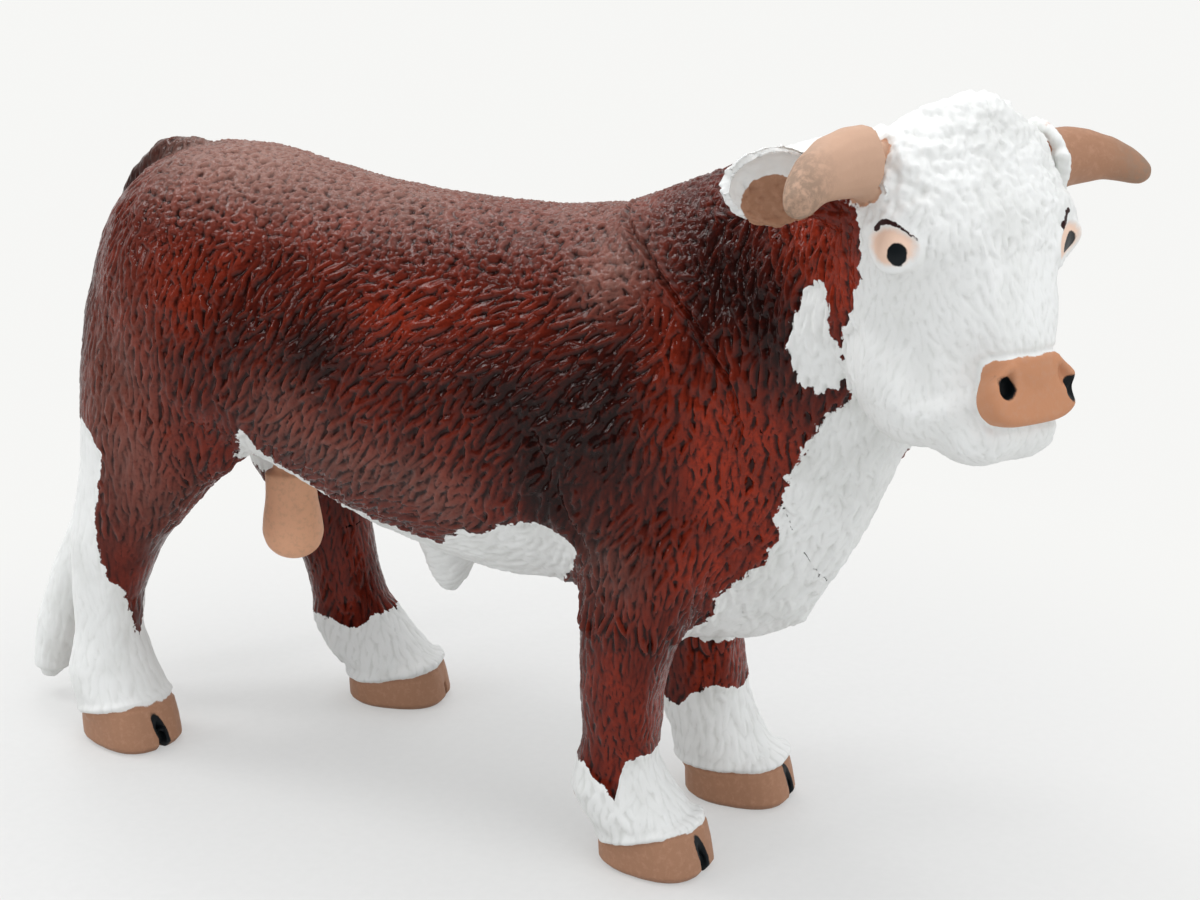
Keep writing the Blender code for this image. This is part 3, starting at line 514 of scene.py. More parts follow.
def inside_by(outline, across, upward):
    """How far inside a closed outline each place is, in millimetres; less than 0 outside."""
    closed = outline + outline[:1]
    inside = np.zeros(across.shape, bool)
    for (ax, az), (bx, bz) in zip(closed, closed[1:]):
        if az != bz:
            edge = (bx - ax) * (upward - az) / (bz - az) + ax
            inside ^= ((az > upward) != (bz > upward)) & (across < edge)
    gap = line_gap(closed, across, upward)
    return np.where(inside, gap, -gap)


seam_side = inside_by(seam_line + ((200.0, 0.0), (200.0, 120.0)), points[:, 0], points[:, 2])
print("ahead of the seam:", int((seam_side > 0).sum()), "points")

# %% [markdown]
# ## Masks for the paint
#
# The painter works free-hand, so the edges wander. Each area is drawn as an outline in side view
# and stored on the points as a distance to its edge, not as a yes or no: a distance stays smooth
# between points, and the material can fray it with noise.

# %% White areas
white_head = (  # along the straightened neck, up
    (29, 99), (28, 77.8), (33, 78.6), (38, 79.6), (43, 79.8), (47, 79.4), (51, 79.4), (56.2, 78.6),
    (56.2, 74), (55, 70.5), (52.5, 67), (50.5, 62.6), (49.9, 65.3), (49.7, 69), (48.9, 70.2), (47.9, 69.9),
    (46.4, 68.6), (45.2, 65.5), (44.8, 62.4), (45.6, 59.4), (46.8, 58.2), (49.9, 60.2), (49.3, 58),
    (47.6, 56.4), (45.5, 54), (43.3, 51), (41.8, 49), (40.5, 46.6), (38.1, 40.4), (35.6, 37), (31.8, 34.4),
    (29.5, 32.6), (28.4, 29.6), (30, 28), (60, 28), (95, 50), (95, 99),
)
white_belly = (  # along, up
    (-28.6, 44.2), (-26.7, 41.5), (-17, 36.1), (-4, 34.1), (0.8, 37.4), (1.8, 36.8), (6.3, 39.0),
    (11.0, 40.1), (14.2, 38.6), (14.8, 37.6), (13.8, 35.5), (12, 33.5), (9, 30), (9, 20),
    (-24, 20), (-30, 33), (-32.4, 39.6),
)
sock_tops = {  # along, height of the sock; the fourth leg has a white strip up its back instead
    "leg_fore_right": ((12, 12.4), (14, 12.2), (15.6, 12.2), (16.7, 11.3), (18.2, 10.1), (19.6, 9.4),
                       (20, 12.6), (20.6, 14.2), (21.6, 14.6), (22.4, 14.2), (23.4, 11.8), (30, 11.5)),
    "leg_fore_left": ((12, 13.2), (14.1, 12.8), (16.5, 11.5), (17.4, 12.6), (18.6, 14), (20.5, 14.9),
                      (22.2, 14.5), (23.6, 12.2), (30, 11.5)),
    "leg_hind_left": ((-44, 11.3), (-37, 11.3), (-34.5, 10.8), (-31.7, 10.1), (-30.4, 11.7),
                      (-27.8, 12.2), (-26, 11.2), (-22, 10.5)),
}
strip_turn = 23.5   # up to here the strip's edge is drawn as the camera sees it, above along the leg
strip_top = 41.5
hind_rear_edge = ((24, -49.2), (30, -50.2), (38.2, -49.1), (40.8, -51.5), (45, -60))
hind_strip_edge = ((10, -48.0), (13.5, -49.1), (17.4, -49.6), (20.8, -50.1), (22.7, -51.6), (24, -52.0))
hind_inner_edge = ((12.3, -14.4), (15.4, -12.5), (19.9, -11.3), (25, -8.5), (30, -7), (36, 0), (45, 20))


# %% White paint
def line_value(line, at):
    return np.interp(at, [p[0] for p in line], [p[1] for p in line])


def paint_white(points):
    along, left, height = straighten(points)
    x, y, z = points.T
    brisket = np.minimum.reduce((5.4 + 2.6 * ramp(x, 21, 25) - np.abs(y), 37 - z, x - 8, z - 21))
    groin = np.minimum.reduce((9.5 - y, y + 2, x + 52, -41 - x, 44 - z, z - 30))
    outlines = inside_by(white_head, along, height), inside_by(white_belly, x, z)
    white = np.maximum.reduce(outlines + (brisket, groin))
    foot = nearest_foot(points)
    for i, (name, _, _, _) in enumerate(foot_places):
        if name in sock_tops:
            mine = (foot == i) & (z < 24)
            white[mine] = np.maximum(white[mine], (line_value(sock_tops[name], x) - z)[mine])
    hind = (x < -38) & (y < -3) & (z < 45)
    strip = line_value(hind_strip_edge, z) - points[:, :2] @ view_right
    rear = np.where(z > strip_turn, line_value(hind_rear_edge, z) - x, strip)
    rear = np.maximum(rear, y - line_value(hind_inner_edge, z))
    rear = np.maximum(np.minimum(rear, strip_top - z), 11.5 - z)
    white[hind] = np.maximum(white[hind], rear[hind])
    return white


white = paint_white(points)
print("white covers", int((white > 0).sum()), "points")

# %% Eyes
eye_settings = {  # side: middle of the ring, its run, pupil's place, half sizes of ring and pupil
    -1: ((60.0, -10.25, 75.65), (0.93, 0.375), (0.85, -0.55), (2.15, 1.55), (0.80, 1.02)),
    1: ((63.4, 7.3, 74.7), (-0.30, 0.954), (0.85, -0.25), (2.9, 1.6), (1.75, 1.00)),
}
brow_lines = {-1: ((-1.65, 1.3), (-1.15, 1.85), (-0.5, 2.1), (0.4, 1.95), (1.3, 1.5), (2.3, 0.7)),
              1: ((-1.8, 1.6), (-0.8, 2.3), (0.1, 2.75))}
brow_half = {-1: 0.30, 1: 0.40}   # half the brow's width at its rear end


def eye_paint(points, side):
    """Distances inside the pupil, the flesh ring and the brow of one eye, and less the place on it."""
    middle, run, pupil_place, ring_half, pupil_half = eye_settings[side]
    along, left, height = straighten(points)
    ahead, aside, rise = along - middle[0], left - middle[1], height - middle[2]
    close = ahead ** 2 + aside ** 2 + rise ** 2 < 4.8 ** 2
    over = ahead * run[0] + aside * run[1]
    pupil = 1 - np.hypot((over - pupil_place[0]) / pupil_half[0], (rise - pupil_place[1]) / pupil_half[1])
    ring = 1 - np.hypot(over / ring_half[0], rise / ring_half[1])
    brow = brow_half[side] - 0.055 * (over + 2.1) - line_gap(brow_lines[side], over, rise)
    place = np.hypot(over / (ring_half[0] + 0.3), (rise + 0.15) / (ring_half[1] + 0.45))
    return np.where(close, (pupil, ring * 2.0, brow, -place), far_outside)


pupil_paint, ring_paint, brow_paint, off_eye = np.maximum(eye_paint(points, -1), eye_paint(points, 1))
eye_place = -off_eye

# %% Muzzle and nostrils
pad_centre, pad_half, pad_corner = (0.55, -0.05, 1.4), (5.4, 3.15, 2.7), 3.9
nostrils = (  # over to the right, down the pad and out of it, then half sizes the same way
    ((3.4, -0.6, 1.0), (1.05, 1.2, 1.6)),
    ((-4.25, 0.4, 1.4), (0.90, 1.25, 1.4)),
)


def pad_paint(points):
    offset = points - pad_middle
    place = (offset @ -head_left, offset @ pad_down, offset @ pad_out)
    square = sum((np.abs(p - c) / h) ** pad_corner for p, c, h in zip(place[:2], pad_centre, pad_half))
    square += (np.clip(pad_centre[2] - place[2], 0, None) / pad_half[2]) ** pad_corner
    pad = (1 - square ** (1 / pad_corner)) * pad_half[1]
    hole = np.full(len(points), far_outside)
    for middle, half in nostrils:
        reach = np.sqrt(sum(((p - c) / h) ** 2 for p, c, h in zip(place, middle, half)))
        hole = np.maximum(hole, (1 - reach) * half[0])
    return pad, hole


# %% Hooves, clefts and rear claws
split_middle = 2.5   # height of the middle of the dark split between the toes
claw_backs = np.array((8.1, 8.1, 7.5, 10.2))   # how far behind each foot's middle its rear claw sits
claw_sides = np.array((-2.2, 2.2, -2.2, 2.2))
claw_up, claw_half = 7.6, 1.25
blank_foot = 3   # the far hind foot, whose split faces away from the camera


def hoof_paint(points):
    """Distances inside the horn of the hooves, the dark split between the toes and the rear claws."""
    z = points[:, 2]
    foot, ahead, aside = foot_ways(points)
    horn = np.where((z < 20) & (nearer["tail"] < 0), hoof_line(points) - z, far_outside)
    low = (z < 12) & (nearer["tail"] < 0)
    lean = 0.3 * (split_middle - z)
    gap = 1.1 * (1 - np.hypot((aside - lean) / 0.85, (z - split_middle) / split_middle))
    split = np.where(low & (ahead > 3.4) & (foot != blank_foot), gap, far_outside)
    rise = (z - claw_up) / 1.3
    claw = claw_half - np.sqrt((ahead + claw_backs[foot]) ** 2 + (aside - claw_sides[foot]) ** 2 + rise ** 2)
    claws = np.where(low, claw, far_outside)
    return np.maximum(horn, claws), split, claws


pad, nostril = pad_paint(points)
hoof, split, claws = hoof_paint(points)
for name, area in (("muzzle pad", pad), ("nostrils", nostril), ("hooves", hoof)):
    print("painted", name, "has", int((area > 0).sum()), "points")

# %% [markdown]
# ## Combing the fur
#
# A sculptor lays the coat in short strokes, each a lens that stands up towards its tip. The
# strokes lean as the hair of a bull does: steep on neck, haunch and legs, sloping on the flank,
# nearly level over the shoulder. Each stroke is added to a height on the points near it, and where
# two overlap the higher one wins, which leaves the sharp little valleys that gloss paint shows up.

# %% The ears' own axes
def ear_axes(side):
    """The seat of an ear, the way out along it and the way that its hollow faces."""
    seat = eye_line - head_ahead * 8.4 + head_left * (side * 10.3) + up * 2.7
    along_ear = -0.24 * head_ahead + side * 0.95 * head_left + 0.22 * up
    along_ear /= np.linalg.norm(along_ear)
    hollow = 0.90 * head_ahead + side * 0.30 * head_left - 0.22 * up
    hollow -= along_ear * (hollow @ along_ear)
    return seat, along_ear, hollow / np.linalg.norm(hollow)


# %% Right ear, horns and pouch
horn_root, horn_reach = 10.5, 10.0   # how far from the head's middle a horn leaves it, and its length
ear_lift = 0.7
horn_slimming, far_horn_drop, near_root_lift = 0.35, 0.3, 0.9
pouch_widening = 1.2


def set_small_forms(points):
    """Makes the right ear taller, slims the left horn, sets both horns and widens the pouch's top."""
    seat, along_ear, hollow = ear_axes(-1)
    upward = -np.cross(hollow, along_ear)
    raised, far = (points - seat) @ upward, (points - seat) @ along_ear
    lift = ear_lift * (1 + ramp(raised, 0.3, 2.6))
    moved = points + np.outer(lift * ramp(nearer["ear_right"], -0.4, 0.4) * ramp(far, 0.5, 3.0), upward)
    moved -= normals * (horn_slimming * ramp(nearer["horn_left"], 0.0, 1.0))[:, None]
    moved[:, 2] -= far_horn_drop * ramp(nearer["horn_left"], -0.8, 1.0)
    root_share = 1 - np.clip((-straighten(points)[1] - horn_root) / horn_reach, 0, 1)
    moved[:, 2] += near_root_lift * ramp(nearer["horn_right"], -0.8, 1.0) * root_share
    low, high = on_drawing(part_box("scrotum"))
    aside = (points[:, :2] - (low + high)[:2] / 2) @ view_right
    top = ramp(nearer["scrotum"], -1.0, 0.2) * ramp(points[:, 2], low[2] + 4.0, high[2] - 1.5)
    moved[:, :2] += np.outer(pouch_widening * np.tanh(aside / 1.5) * top, view_right)
    return moved


points = set_small_forms(points)
write_points(skin, points)
points, normals = read_points(skin)

# %% How the hair leans, in side view
hair_lean = (  # along, up, degrees above the ground
    (-57, 60, 92), (-52, 40, 92), (-46, 66, 88), (-42, 55, 86), (-42, 42, 84), (-34, 62, 76), (-32, 48, 70),
    (-24, 58, 58), (-22, 46, 56), (-12, 58, 48), (-12, 44, 52), (-2, 60, 42), (-2, 44, 54), (6, 66, 32),
    (8, 54, 48), (10, 44, 62), (16, 70, 27), (16, 60, 33), (18, 50, 56), (20, 40, 72), (24, 60, 58),
    (26, 50, 76), (22, 30, 88), (28, 66, 96), (32, 60, 106), (38, 62, 100), (44, 68, 92), (40, 50, 80),
    (46, 56, 74), (36, 38, 58), (-50, 20, 90), (20, 12, 90), (-32, 20, 90), (-4, 34, 20), (-20, 36, 25),
)


# %% Which way each hair points
lean_reach = 7.0      # how far each of these leans is felt
steady, unruly = 14, 45   # how many degrees a hair strays, and how many more on the pebbled back


def hair_way(points, normals, rng):
    """For each point, the way along the skin in which the tip of the hair points."""
    along, left, height = straighten(points)
    total, weight = np.zeros((2, len(points)))
    for x, z, degrees in hair_lean:
        near = np.exp(-((along - x) ** 2 + (height - z) ** 2) / lean_reach ** 2) + 1e-9
        total += near * degrees
        weight += near
    angle = np.radians(total / weight)
    bent = np.clip((along - bend_start) / bend_length, 0, 1) * head_turn
    ahead = np.stack((np.cos(bent), -np.sin(bent), np.zeros(len(points))), 1)
    way = ahead * -np.cos(angle)[:, None] + up * -np.sin(angle)[:, None]
    on_face = ramp(along, 53, 58)[:, None]
    cheek = ramp(np.abs(left), 5, 10)[:, None]
    down_face = face_down * (1 - cheek) + (-head_ahead * 0.35 - up * 0.93) * cheek
    way = way * (1 - on_face) + down_face * on_face
    for side, node in ((-1, "ear_right"), (1, "ear_left")):
        way = np.where((nearer[node] > -0.3)[:, None], ear_axes(side)[1], way)
    way -= normals * (way * normals).sum(1)[:, None]
    size = np.linalg.norm(way, axis=1)
    backwards = np.array((-1.0, 0, 0)) + normals * normals[:, :1]
    way = np.where(size[:, None] > 0.15, way, backwards)
    way /= np.linalg.norm(way, axis=1)[:, None] + 1e-9
    turn = (rng.normal(0, 1, len(points)) * np.radians(steady + unruly * pebble))[:, None]
    aside = np.cross(normals, way)
    return way * np.cos(turn) + aside * np.sin(turn)


# %% Which kind of coat grows where
def coat_kinds(points, normals):
    """Shares of each kind of coat: bare, curls of the poll, pebbles of the back and crest, short hair."""
    along, left, height = straighten(points)
    bare = np.maximum.reduce((ramp(pad, -0.5, 0.1), fall(eye_place, 1.0, 1.25),
                              ramp(hoof, -0.3, 0.1), ramp(nostril, -1, 0)))
    for node in ("horn_right", "horn_left", "scrotum"):
        bare = np.maximum(bare, ramp(nearer[node], -0.3, 0.2))
    over, down, out = face_place(points)
    poll = 1 - ramp(down, -7.5, 5.5) * ramp(out, -7, -4)
    poll = poll * (1 - ramp(np.abs(over), 7.0, 9.5) * ramp(down, -4, 0))
    poll = poll * ramp(along, 47, 50) * ramp(height, 75, 77.5)
    back = ramp(height + 3.0 * normals[:, 2], 64, 69) * ramp(-along, -30, -26) * fall(-along, 44, 50)
    crest = ramp(along, 24, 30) * ramp(height, 72, 76) * fall(along, 44, 50)
    short = np.maximum.reduce((fall(height, 24, 34), ramp(-along, 46, 54), ramp(along, 53, 57)))
    return bare, poll, np.maximum(back, crest), short


hair_seed = 7
rng = np.random.default_rng(hair_seed)
bare, poll, pebble, short = coat_kinds(points, normals)
way = hair_way(points, normals, rng)
along_all, _, up_all = straighten(points)
over_all, down_all, out_all = face_place(points)
face = ramp(along_all, 51, 55) * ramp(up_all, 50, 54)
forehead = fall(down_all, 1.0, 6.5) * fall(np.abs(over_all), 6.0, 8.5)
forehead = forehead * ramp(out_all, -4, -1) * face
neck = (seam_side > 0.8) * (1 - face)
leg = fall(up_all, 26, 36)


# %% Finding neighbours
class Net:
    """The points of the skin, ready to be asked for the neighbours of a place."""

    def __init__(self, points):
        self.tree = kdtree.KDTree(len(points))
        for i, place in enumerate(points):
            self.tree.insert(place, i)
        self.tree.balance()

    def around(self, place, radius):
        return np.fromiter((found[1] for found in self.tree.find_range(place, radius)), int)


def spread_over(where, spacing, rng):
    """Picks about one point for each cell of that size, among the points where the mask holds."""
    chosen = rng.permutation(np.flatnonzero(where))
    cells = np.floor(points[chosen] / spacing).astype(int)
    _, first = np.unique(cells, axis=0, return_index=True)
    return chosen[first]


# %% One stroke and one curl
def lay_strokes(height, net, roots, length, width, rise, bow, rng):
    for root in roots:
        long = length * rng.uniform(0.75, 1.3)
        wide = width * rng.uniform(0.8, 1.2)
        bend = bow * rng.normal()
        near = net.around(points[root], long * 0.55)
        offset = points[near] - points[root]
        tip = way[root]
        aside = np.cross(normals[root], tip)
        u = offset @ tip / (long / 2)
        v = (offset @ aside + bend * (u * u - 0.4)) / (wide / 2)
        body = np.clip(1 - np.abs(u) ** 2.2, 0, 1) ** 0.6
        ridge = np.clip(1 - np.abs(v / (body + 1e-6)) ** 1.6, 0, 1)
        ridge = ridge * (0.25 + 0.75 * ramp(u, -1.0, 0.8)) * body ** 0.5
        height[near] = np.maximum(height[near], ridge * rise * rng.uniform(0.6, 1.2))


def lay_curls(height, net, roots, size, rise, rng):
    """Round curls: a dome with a spiral groove."""
    for root in roots:
        radius = size * rng.uniform(0.75, 1.25)
        near = net.around(points[root], radius)
        offset = points[near] - points[root]
        first = way[root]
        second = np.cross(normals[root], first)
        a, b = offset @ first, offset @ second
        reach = np.hypot(a, b) / radius
        angle = np.arctan2(b, a)
        spiral = np.cos(angle - 5.0 * reach + rng.uniform(0, 2 * math.pi))
        dome = np.clip(1 - reach ** 2, 0, 1) ** 0.85
        height[near] = np.maximum(height[near], rise * dome * (0.84 + 0.16 * spiral))


# %% Laying the strokes
net = Net(points)
furred = bare < 0.5
height = np.zeros(len(points))
on_ear = np.maximum(nearer["ear_right"], nearer["ear_left"]) > -0.5
plain = furred & ~on_ear
coat = plain & (face < 0.5)
combed = coat & (pebble < 0.5)
flank = combed & (short < 0.5) & (neck < 0.5)
throat = combed & (short < 0.5) & (neck >= 0.5)
haunch = combed & (short >= 0.5) & (leg < 0.5)
on_leg = plain & (leg >= 0.5)
stroke_kinds = (  # where, spacing, length, width, rise, bow
    (flank, 1.20, 3.5, 0.90, 0.60, 0.26),
    (flank, 1.00, 1.8, 0.60, 0.26, 0.14),
    (throat, 1.20, 4.2, 0.95, 0.80, 0.36),
    (throat, 1.00, 1.8, 0.62, 0.30, 0.16),
    (coat & (pebble >= 0.5), 1.10, 1.7, 1.00, 0.66, 0.22),
    (haunch, 1.00, 2.9, 0.78, 0.34, 0.16),
    (haunch, 0.90, 1.6, 0.55, 0.18, 0.10),
    (on_leg, 0.85, 3.0, 0.60, 0.17, 0.10),
    (on_leg & (white > 0), 1.30, 4.0, 1.30, 0.50, 0.20),
    (plain & (face >= 0.5) & (poll < 0.5), 0.75, 2.3, 0.62, 0.19, 0.12),
    (plain & (forehead >= 0.3) & (poll < 0.5), 1.30, 2.6, 1.10, 0.24, 0.35),
    (furred & on_ear, 0.90, 2.8, 0.90, 0.50, 0.30),
)
for where, spacing, long, wide, rise, bow in stroke_kinds:
    roots = spread_over(where, spacing, rng)
    lay_strokes(height, net, roots, long, wide, rise, bow, rng)
    print(len(roots), "strokes", long, "mm long")

# %% Pebbles of the back and curls of the poll
pebble_kind = (0.95, 0.80, 0.62)   # spacing, size, rise
curl_kinds = ((2.7, 2.6, 0.60), (1.4, 1.35, 0.72))
wisp_spacing, wisp_shape = 0.9, (2.4, 0.75, 0.26, 0.45)   # length, width, rise, bow
white_filling, haunch_filling = 0.50, 0.40   # how much of the fur thick paint fills up there


def curls_on(where, spacing, size, rise):
    laid = np.zeros(len(points))
    lay_curls(laid, net, spread_over(where, spacing, rng), size, rise, rng)
    return laid


height = np.maximum(height, curls_on(plain & (pebble >= 0.2), *pebble_kind) * ramp(pebble, 0.1, 0.8))
on_poll = plain & (poll >= 0.05)
for kind in curl_kinds:
    height += curls_on(on_poll, *kind) * poll
wisps = np.zeros(len(points))
lay_strokes(wisps, net, spread_over(on_poll, wisp_spacing, rng), *wisp_shape, rng)
height += wisps
height *= 1 - white_filling * ramp(white, 0.0, 0.8) * (1 - face)
height *= 1 - haunch_filling * ramp(-along_all, 36, 46) * (1 - 0.5 * pebble)
print("fur stands up to", round(float(height.max()), 2), "mm")

# %% How deep each place lies among its neighbours
ends = read_rows(skin.data.edges, "vertices", 2, np.int32)
valence = np.bincount(ends.reshape(-1), minlength=len(points))


def blurred(values, turns):
    for _ in range(turns):
        total = np.bincount(ends[:, 0], values[ends[:, 1]], len(values))
        total += np.bincount(ends[:, 1], values[ends[:, 0]], len(values))
        values = 0.4 * values + 0.6 * total / valence
    return values


# %% [markdown]
# ## Creases and hard edges
#
# After the fur come the marks of the knife: the seam, the folds behind the elbow, the eyelids, the
# crisp rim of the muzzle pad, the nostrils, the ring of hair over each hoof and the split between
# the toes.

# %% Knife work
elbow_fold = ((11, 50), (13.5, 44), (16, 37.6))   # along, up


def knife_work(points):
    x, y, z = points.T
    # the groove of the seam with its raised lines, and the fold behind the elbow
    seam_gap = np.abs(seam_side)
    work = ramp(z, 47, 56) * (0.34 * hump(seam_gap, 0.52, 0.24) - 0.45 * hump(seam_gap, 0, 0.22))
    work -= 0.55 * hump(line_gap(elbow_fold, x, z), 0, 0.7) * (np.abs(y) > 9)
    # the eyelids and the eyeball, the rim of the muzzle pad and the nostrils
    work += 0.34 * hump(eye_place, 1.02, 0.15) + 0.25 * hump(eye_place, 0, 0.7)
    work += 0.25 * ramp(pad, -0.15, 0.25) - 0.25 * hump(pad, -0.35, 0.28)
    work -= 0.75 * ramp(nostril, -0.15, 0.7)
    # the ring of hair over each hoof, the split between the toes and the rear claws
    coronet = np.where(z < 12, z - hoof_line(points), 9)
    work += 0.28 * hump(coronet, 0.45, 0.5) - 0.22 * hump(coronet, -0.1, 0.25)
    work -= 0.9 * ramp(split, 0.35, 1.1)
    work += 0.6 * ramp(claws, -0.6, 0.6)
    # ears and horns aren't quite even
    uneven = np.sin(1.1 * x + 2) * np.sin(1.6 * z + 1) * np.sin(1.4 * y)
    for node, amount in (("ear_right", 0.12), ("ear_left", 0.12), ("horn_right", 0.06), ("horn_left", 0.06)):
        work += amount * uneven * ramp(nearer[node], -0.2, 0.3)
    return work


# %% Pressing the relief in
work = knife_work(points)
rise_here = 0.46 - 0.14 * leg - 0.20 * np.maximum(short, face) * (1 - poll)
rise_here = rise_here + 0.10 * neck + 0.62 * poll + 0.10 * forehead
level = 0.48 * rise_here   # the coat's mean height, so that the fur stands half in and half out
points = points + normals * ((height * (1 - bare) - level * (1 - bare)) + work)[:, None]
write_points(skin, points)
near_blur, far_blur = 10, 40
sunk = height - blurred(height, near_blur)
sunk = sunk - blurred(sunk, far_blur)
relief = np.clip(0.55 + 0.45 * sunk / (0.27 * rise_here + 0.03), 0, 1) * (1 - bare) + 0.6 * bare
print("relief between", np.round(np.percentile(relief, (5, 50, 95)), 2))

# %% [markdown]
# ## Thin paint, and painted shade
#
# The coat is a transparent glossy brown. It looks orange-red where it was wiped thin, in front of
# the shoulder and on the lower haunch. Behind the shoulder, under the flank, on the neck and along
# the rear edge of the rump it is painted nearly black as painted shade; the tail's brown is darker.

# %% Where the paint is thin, and where shade is painted
thin_spots = (  # along, up, half length, half height, amount
    (36, 45, 5.0, 8.0, 0.9), (41, 53, 4.0, 4.0, 0.8), (30, 37, 4.0, 4.0, 0.6), (45, 74, 5.0, 3.0, 1.0),
    (52, 71, 3.5, 5.0, 1.0), (-37, 60, 7.0, 6.0, 0.50), (-7, 60, 7.0, 3.5, 0.35), (26, 60, 2.5, 7.0, 0.6),
    (33, 50, 4.0, 8.0, 0.6), (21, 18, 5.0, 8.0, 0.4), (-42, 42, 6.0, 5.0, 0.3), (60, 72, 5.0, 6.0, 0.8),
)
# Painted shade: dark spots behind the shoulder, under the flank, on the neck and along the rear edge of the
# rump
shade_spots = (
    (19, 55, 4.5, 6.5, 1.0), (13, 50, 5.0, 7.0, 1.0), (12, 43, 3.0, 5.0, 0.8), (6, 54, 5.0, 5.0, 0.8),
    (-17, 55, 6.0, 4.5, 1.0), (28, 71, 7.0, 6.0, 0.8), (38, 67, 6.0, 6.0, 0.85), (-56, 52, 3.0, 14.0, 0.8),
    (31, 63, 4.0, 5.0, 0.5), (43, 62, 4.0, 5.0, 0.7), (-29, 55, 5.0, 6.0, 0.6), (21, 47, 4.0, 4.0, 0.5),
    (-3, 53, 6.0, 3.5, 0.4), (17, 39, 3.0, 4.0, 0.6),
)
# Painted sheen: the three spots along the top of the back and the one on top of the shoulder stand in for the
# pale reflection of the gloss; the others are milky worn gloss
milky_and_sheen_spots = (  # milky where the gloss is worn off; painted sheen along the top of the back
    (-22, 47, 6.0, 4.0, 0.28), (-12, 43, 8.0, 4.0, 0.35), (-1, 41, 5.0, 4.0, 0.35), (-43, 36, 5.0, 8.0, 0.2),
    (-47, 46, 8.0, 14.0, 0.3), (20, 36, 5.0, 4.0, 0.2), (17, 67, 4.5, 3.5, 0.6),
    (-36, 74, 14.0, 5.0, 1.0), (-14, 73, 14.0, 5.0, 0.9), (8, 74, 9.0, 5.0, 0.7),
)
# counts the thin spots, the spots of painted shade, and the milky and painted-sheen spots
print(len(thin_spots), "thin,", len(shade_spots), "pooled and", len(milky_and_sheen_spots), "dusty spots")


# %% Linings, tips and spots
def spots(places, points):
    along, _, height = straighten(points)
    total = np.zeros(len(points))
    for x, z, half_long, half_high, amount in places:
        total += amount * np.exp(-((along - x) / half_long) ** 2 - ((height - z) / half_high) ** 2)
    return np.clip(total, 0, 1)


lining_middle, lining_half = (6.0, -0.8), (3.6, 2.7)   # out along the ear and up it


def ear_lining(points, normals, side):
    """How far inside the bare hollow of one ear each place lies, and how far out along it."""
    seat, along_ear, hollow = ear_axes(side)
    offset = points - seat
    far = offset @ along_ear
    raised = side * (offset @ np.cross(hollow, along_ear))
    reach = np.hypot((raised - lining_middle[1]) / lining_half[1], (far - lining_middle[0]) / lining_half[0])
    lining = np.minimum((1 - reach) * lining_half[1], (normals @ hollow) * 1.5 - 0.1)
    mine = nearer["ear_right" if side < 0 else "ear_left"] > -0.5
    return np.where(mine, (lining, far), far_outside)


def horn_run(points, side):
    """How far out along a horn, from 0 at the head to about 1 at the tip."""
    mine = nearer["horn_right" if side < 0 else "horn_left"] > -1
    return np.where(mine, (side * straighten(points)[1] - horn_root) / horn_reach, 0)


# %% Storing the values on the points
linings, ear_far = np.maximum(ear_lining(points, normals, -1), ear_lining(points, normals, 1))
tan_parts = np.maximum.reduce((pad, hoof, linings, nearer["horn_right"], nearer["horn_left"],
                               nearer["scrotum"]))
white_ear_from, white_tail_below = 2.8, 42.5
for node in ("ear_right", "ear_left"):
    white_ear = np.where(nearer[node] > -1, np.minimum(nearer[node], ear_far - white_ear_from), far_outside)
    white = np.maximum(white, white_ear)
on_tail = nearer["tail"] > -0.6
white = np.where(on_tail, white_tail_below - points[:, 2], white)
stored_values = {
    "white": white, "tan": tan_parts, "ring": ring_paint, "brow": brow_paint, "relief": relief,
    "dark": np.maximum.reduce((nostril, split, pupil_paint * 1.1)),
    "thin": spots(thin_spots, points),
    # milky worn gloss, and painted sheen along the top of the back and shoulder
    "milky_and_sheen": spots(milky_and_sheen_spots, points),
    # painted shade in those spots, and the tail's brown darkened all over
    "shade_and_dark_tail": np.maximum(spots(shade_spots, points), 0.9 * on_tail),
    "tip": np.maximum(horn_run(points, -1), horn_run(points, 1)),
    # painted highlight: the right horn is painted paler than the left
    "pale": ramp(nearer["horn_right"], -0.2, 0.4),
}
for name, values in stored_values.items():
    write_value(skin, name, values)
print("stored", ", ".join(stored_values))

# %% [markdown]
# ## Cutting the skin back into the mouldings
#
# The skin is cut where the real mouldings meet, and the two large ones are cut again into legs,
# haunches, body, shoulders, neck and head, so that no piece is too heavy. Each piece keeps the
# shading of the whole skin at its edge, so that only the seam that was sculpted shows, and its open
# ends are closed.

# %% A piece for each face
piece_names = ("coat_body", "coat_head", *small_nodes, *(place[0] for place in foot_places),
               "coat_shoulders", "coat_haunches", "coat_neck")
leg_cut, leg_reach = 23.5, 14.0
head_from, shoulders_from, haunches_to = 40.0, -5.0, -38.0   # along


def piece_of_points():
    number = piece_names.index
    x = points[:, 0]
    in_front = np.where(straighten(points)[0] < head_from, number("coat_neck"), number("coat_head"))
    behind = np.where(x > shoulders_from, number("coat_shoulders"), number("coat_body"))
    behind = np.where(x < haunches_to, number("coat_haunches"), behind)
    label = np.where(seam_side > 0, in_front, behind)
    foot = nearest_foot(points)
    foot_spots = np.array([place[1:3] for place in foot_places])
    near_leg = np.linalg.norm(points[:, :2] - foot_spots[foot], axis=1) < leg_reach
    low = (points[:, 2] < leg_cut) & near_leg
    label[low] = number(foot_places[0][0]) + foot[low]
    for node in small_nodes:
        label[nearer[node] > 0] = number(node)
    return label


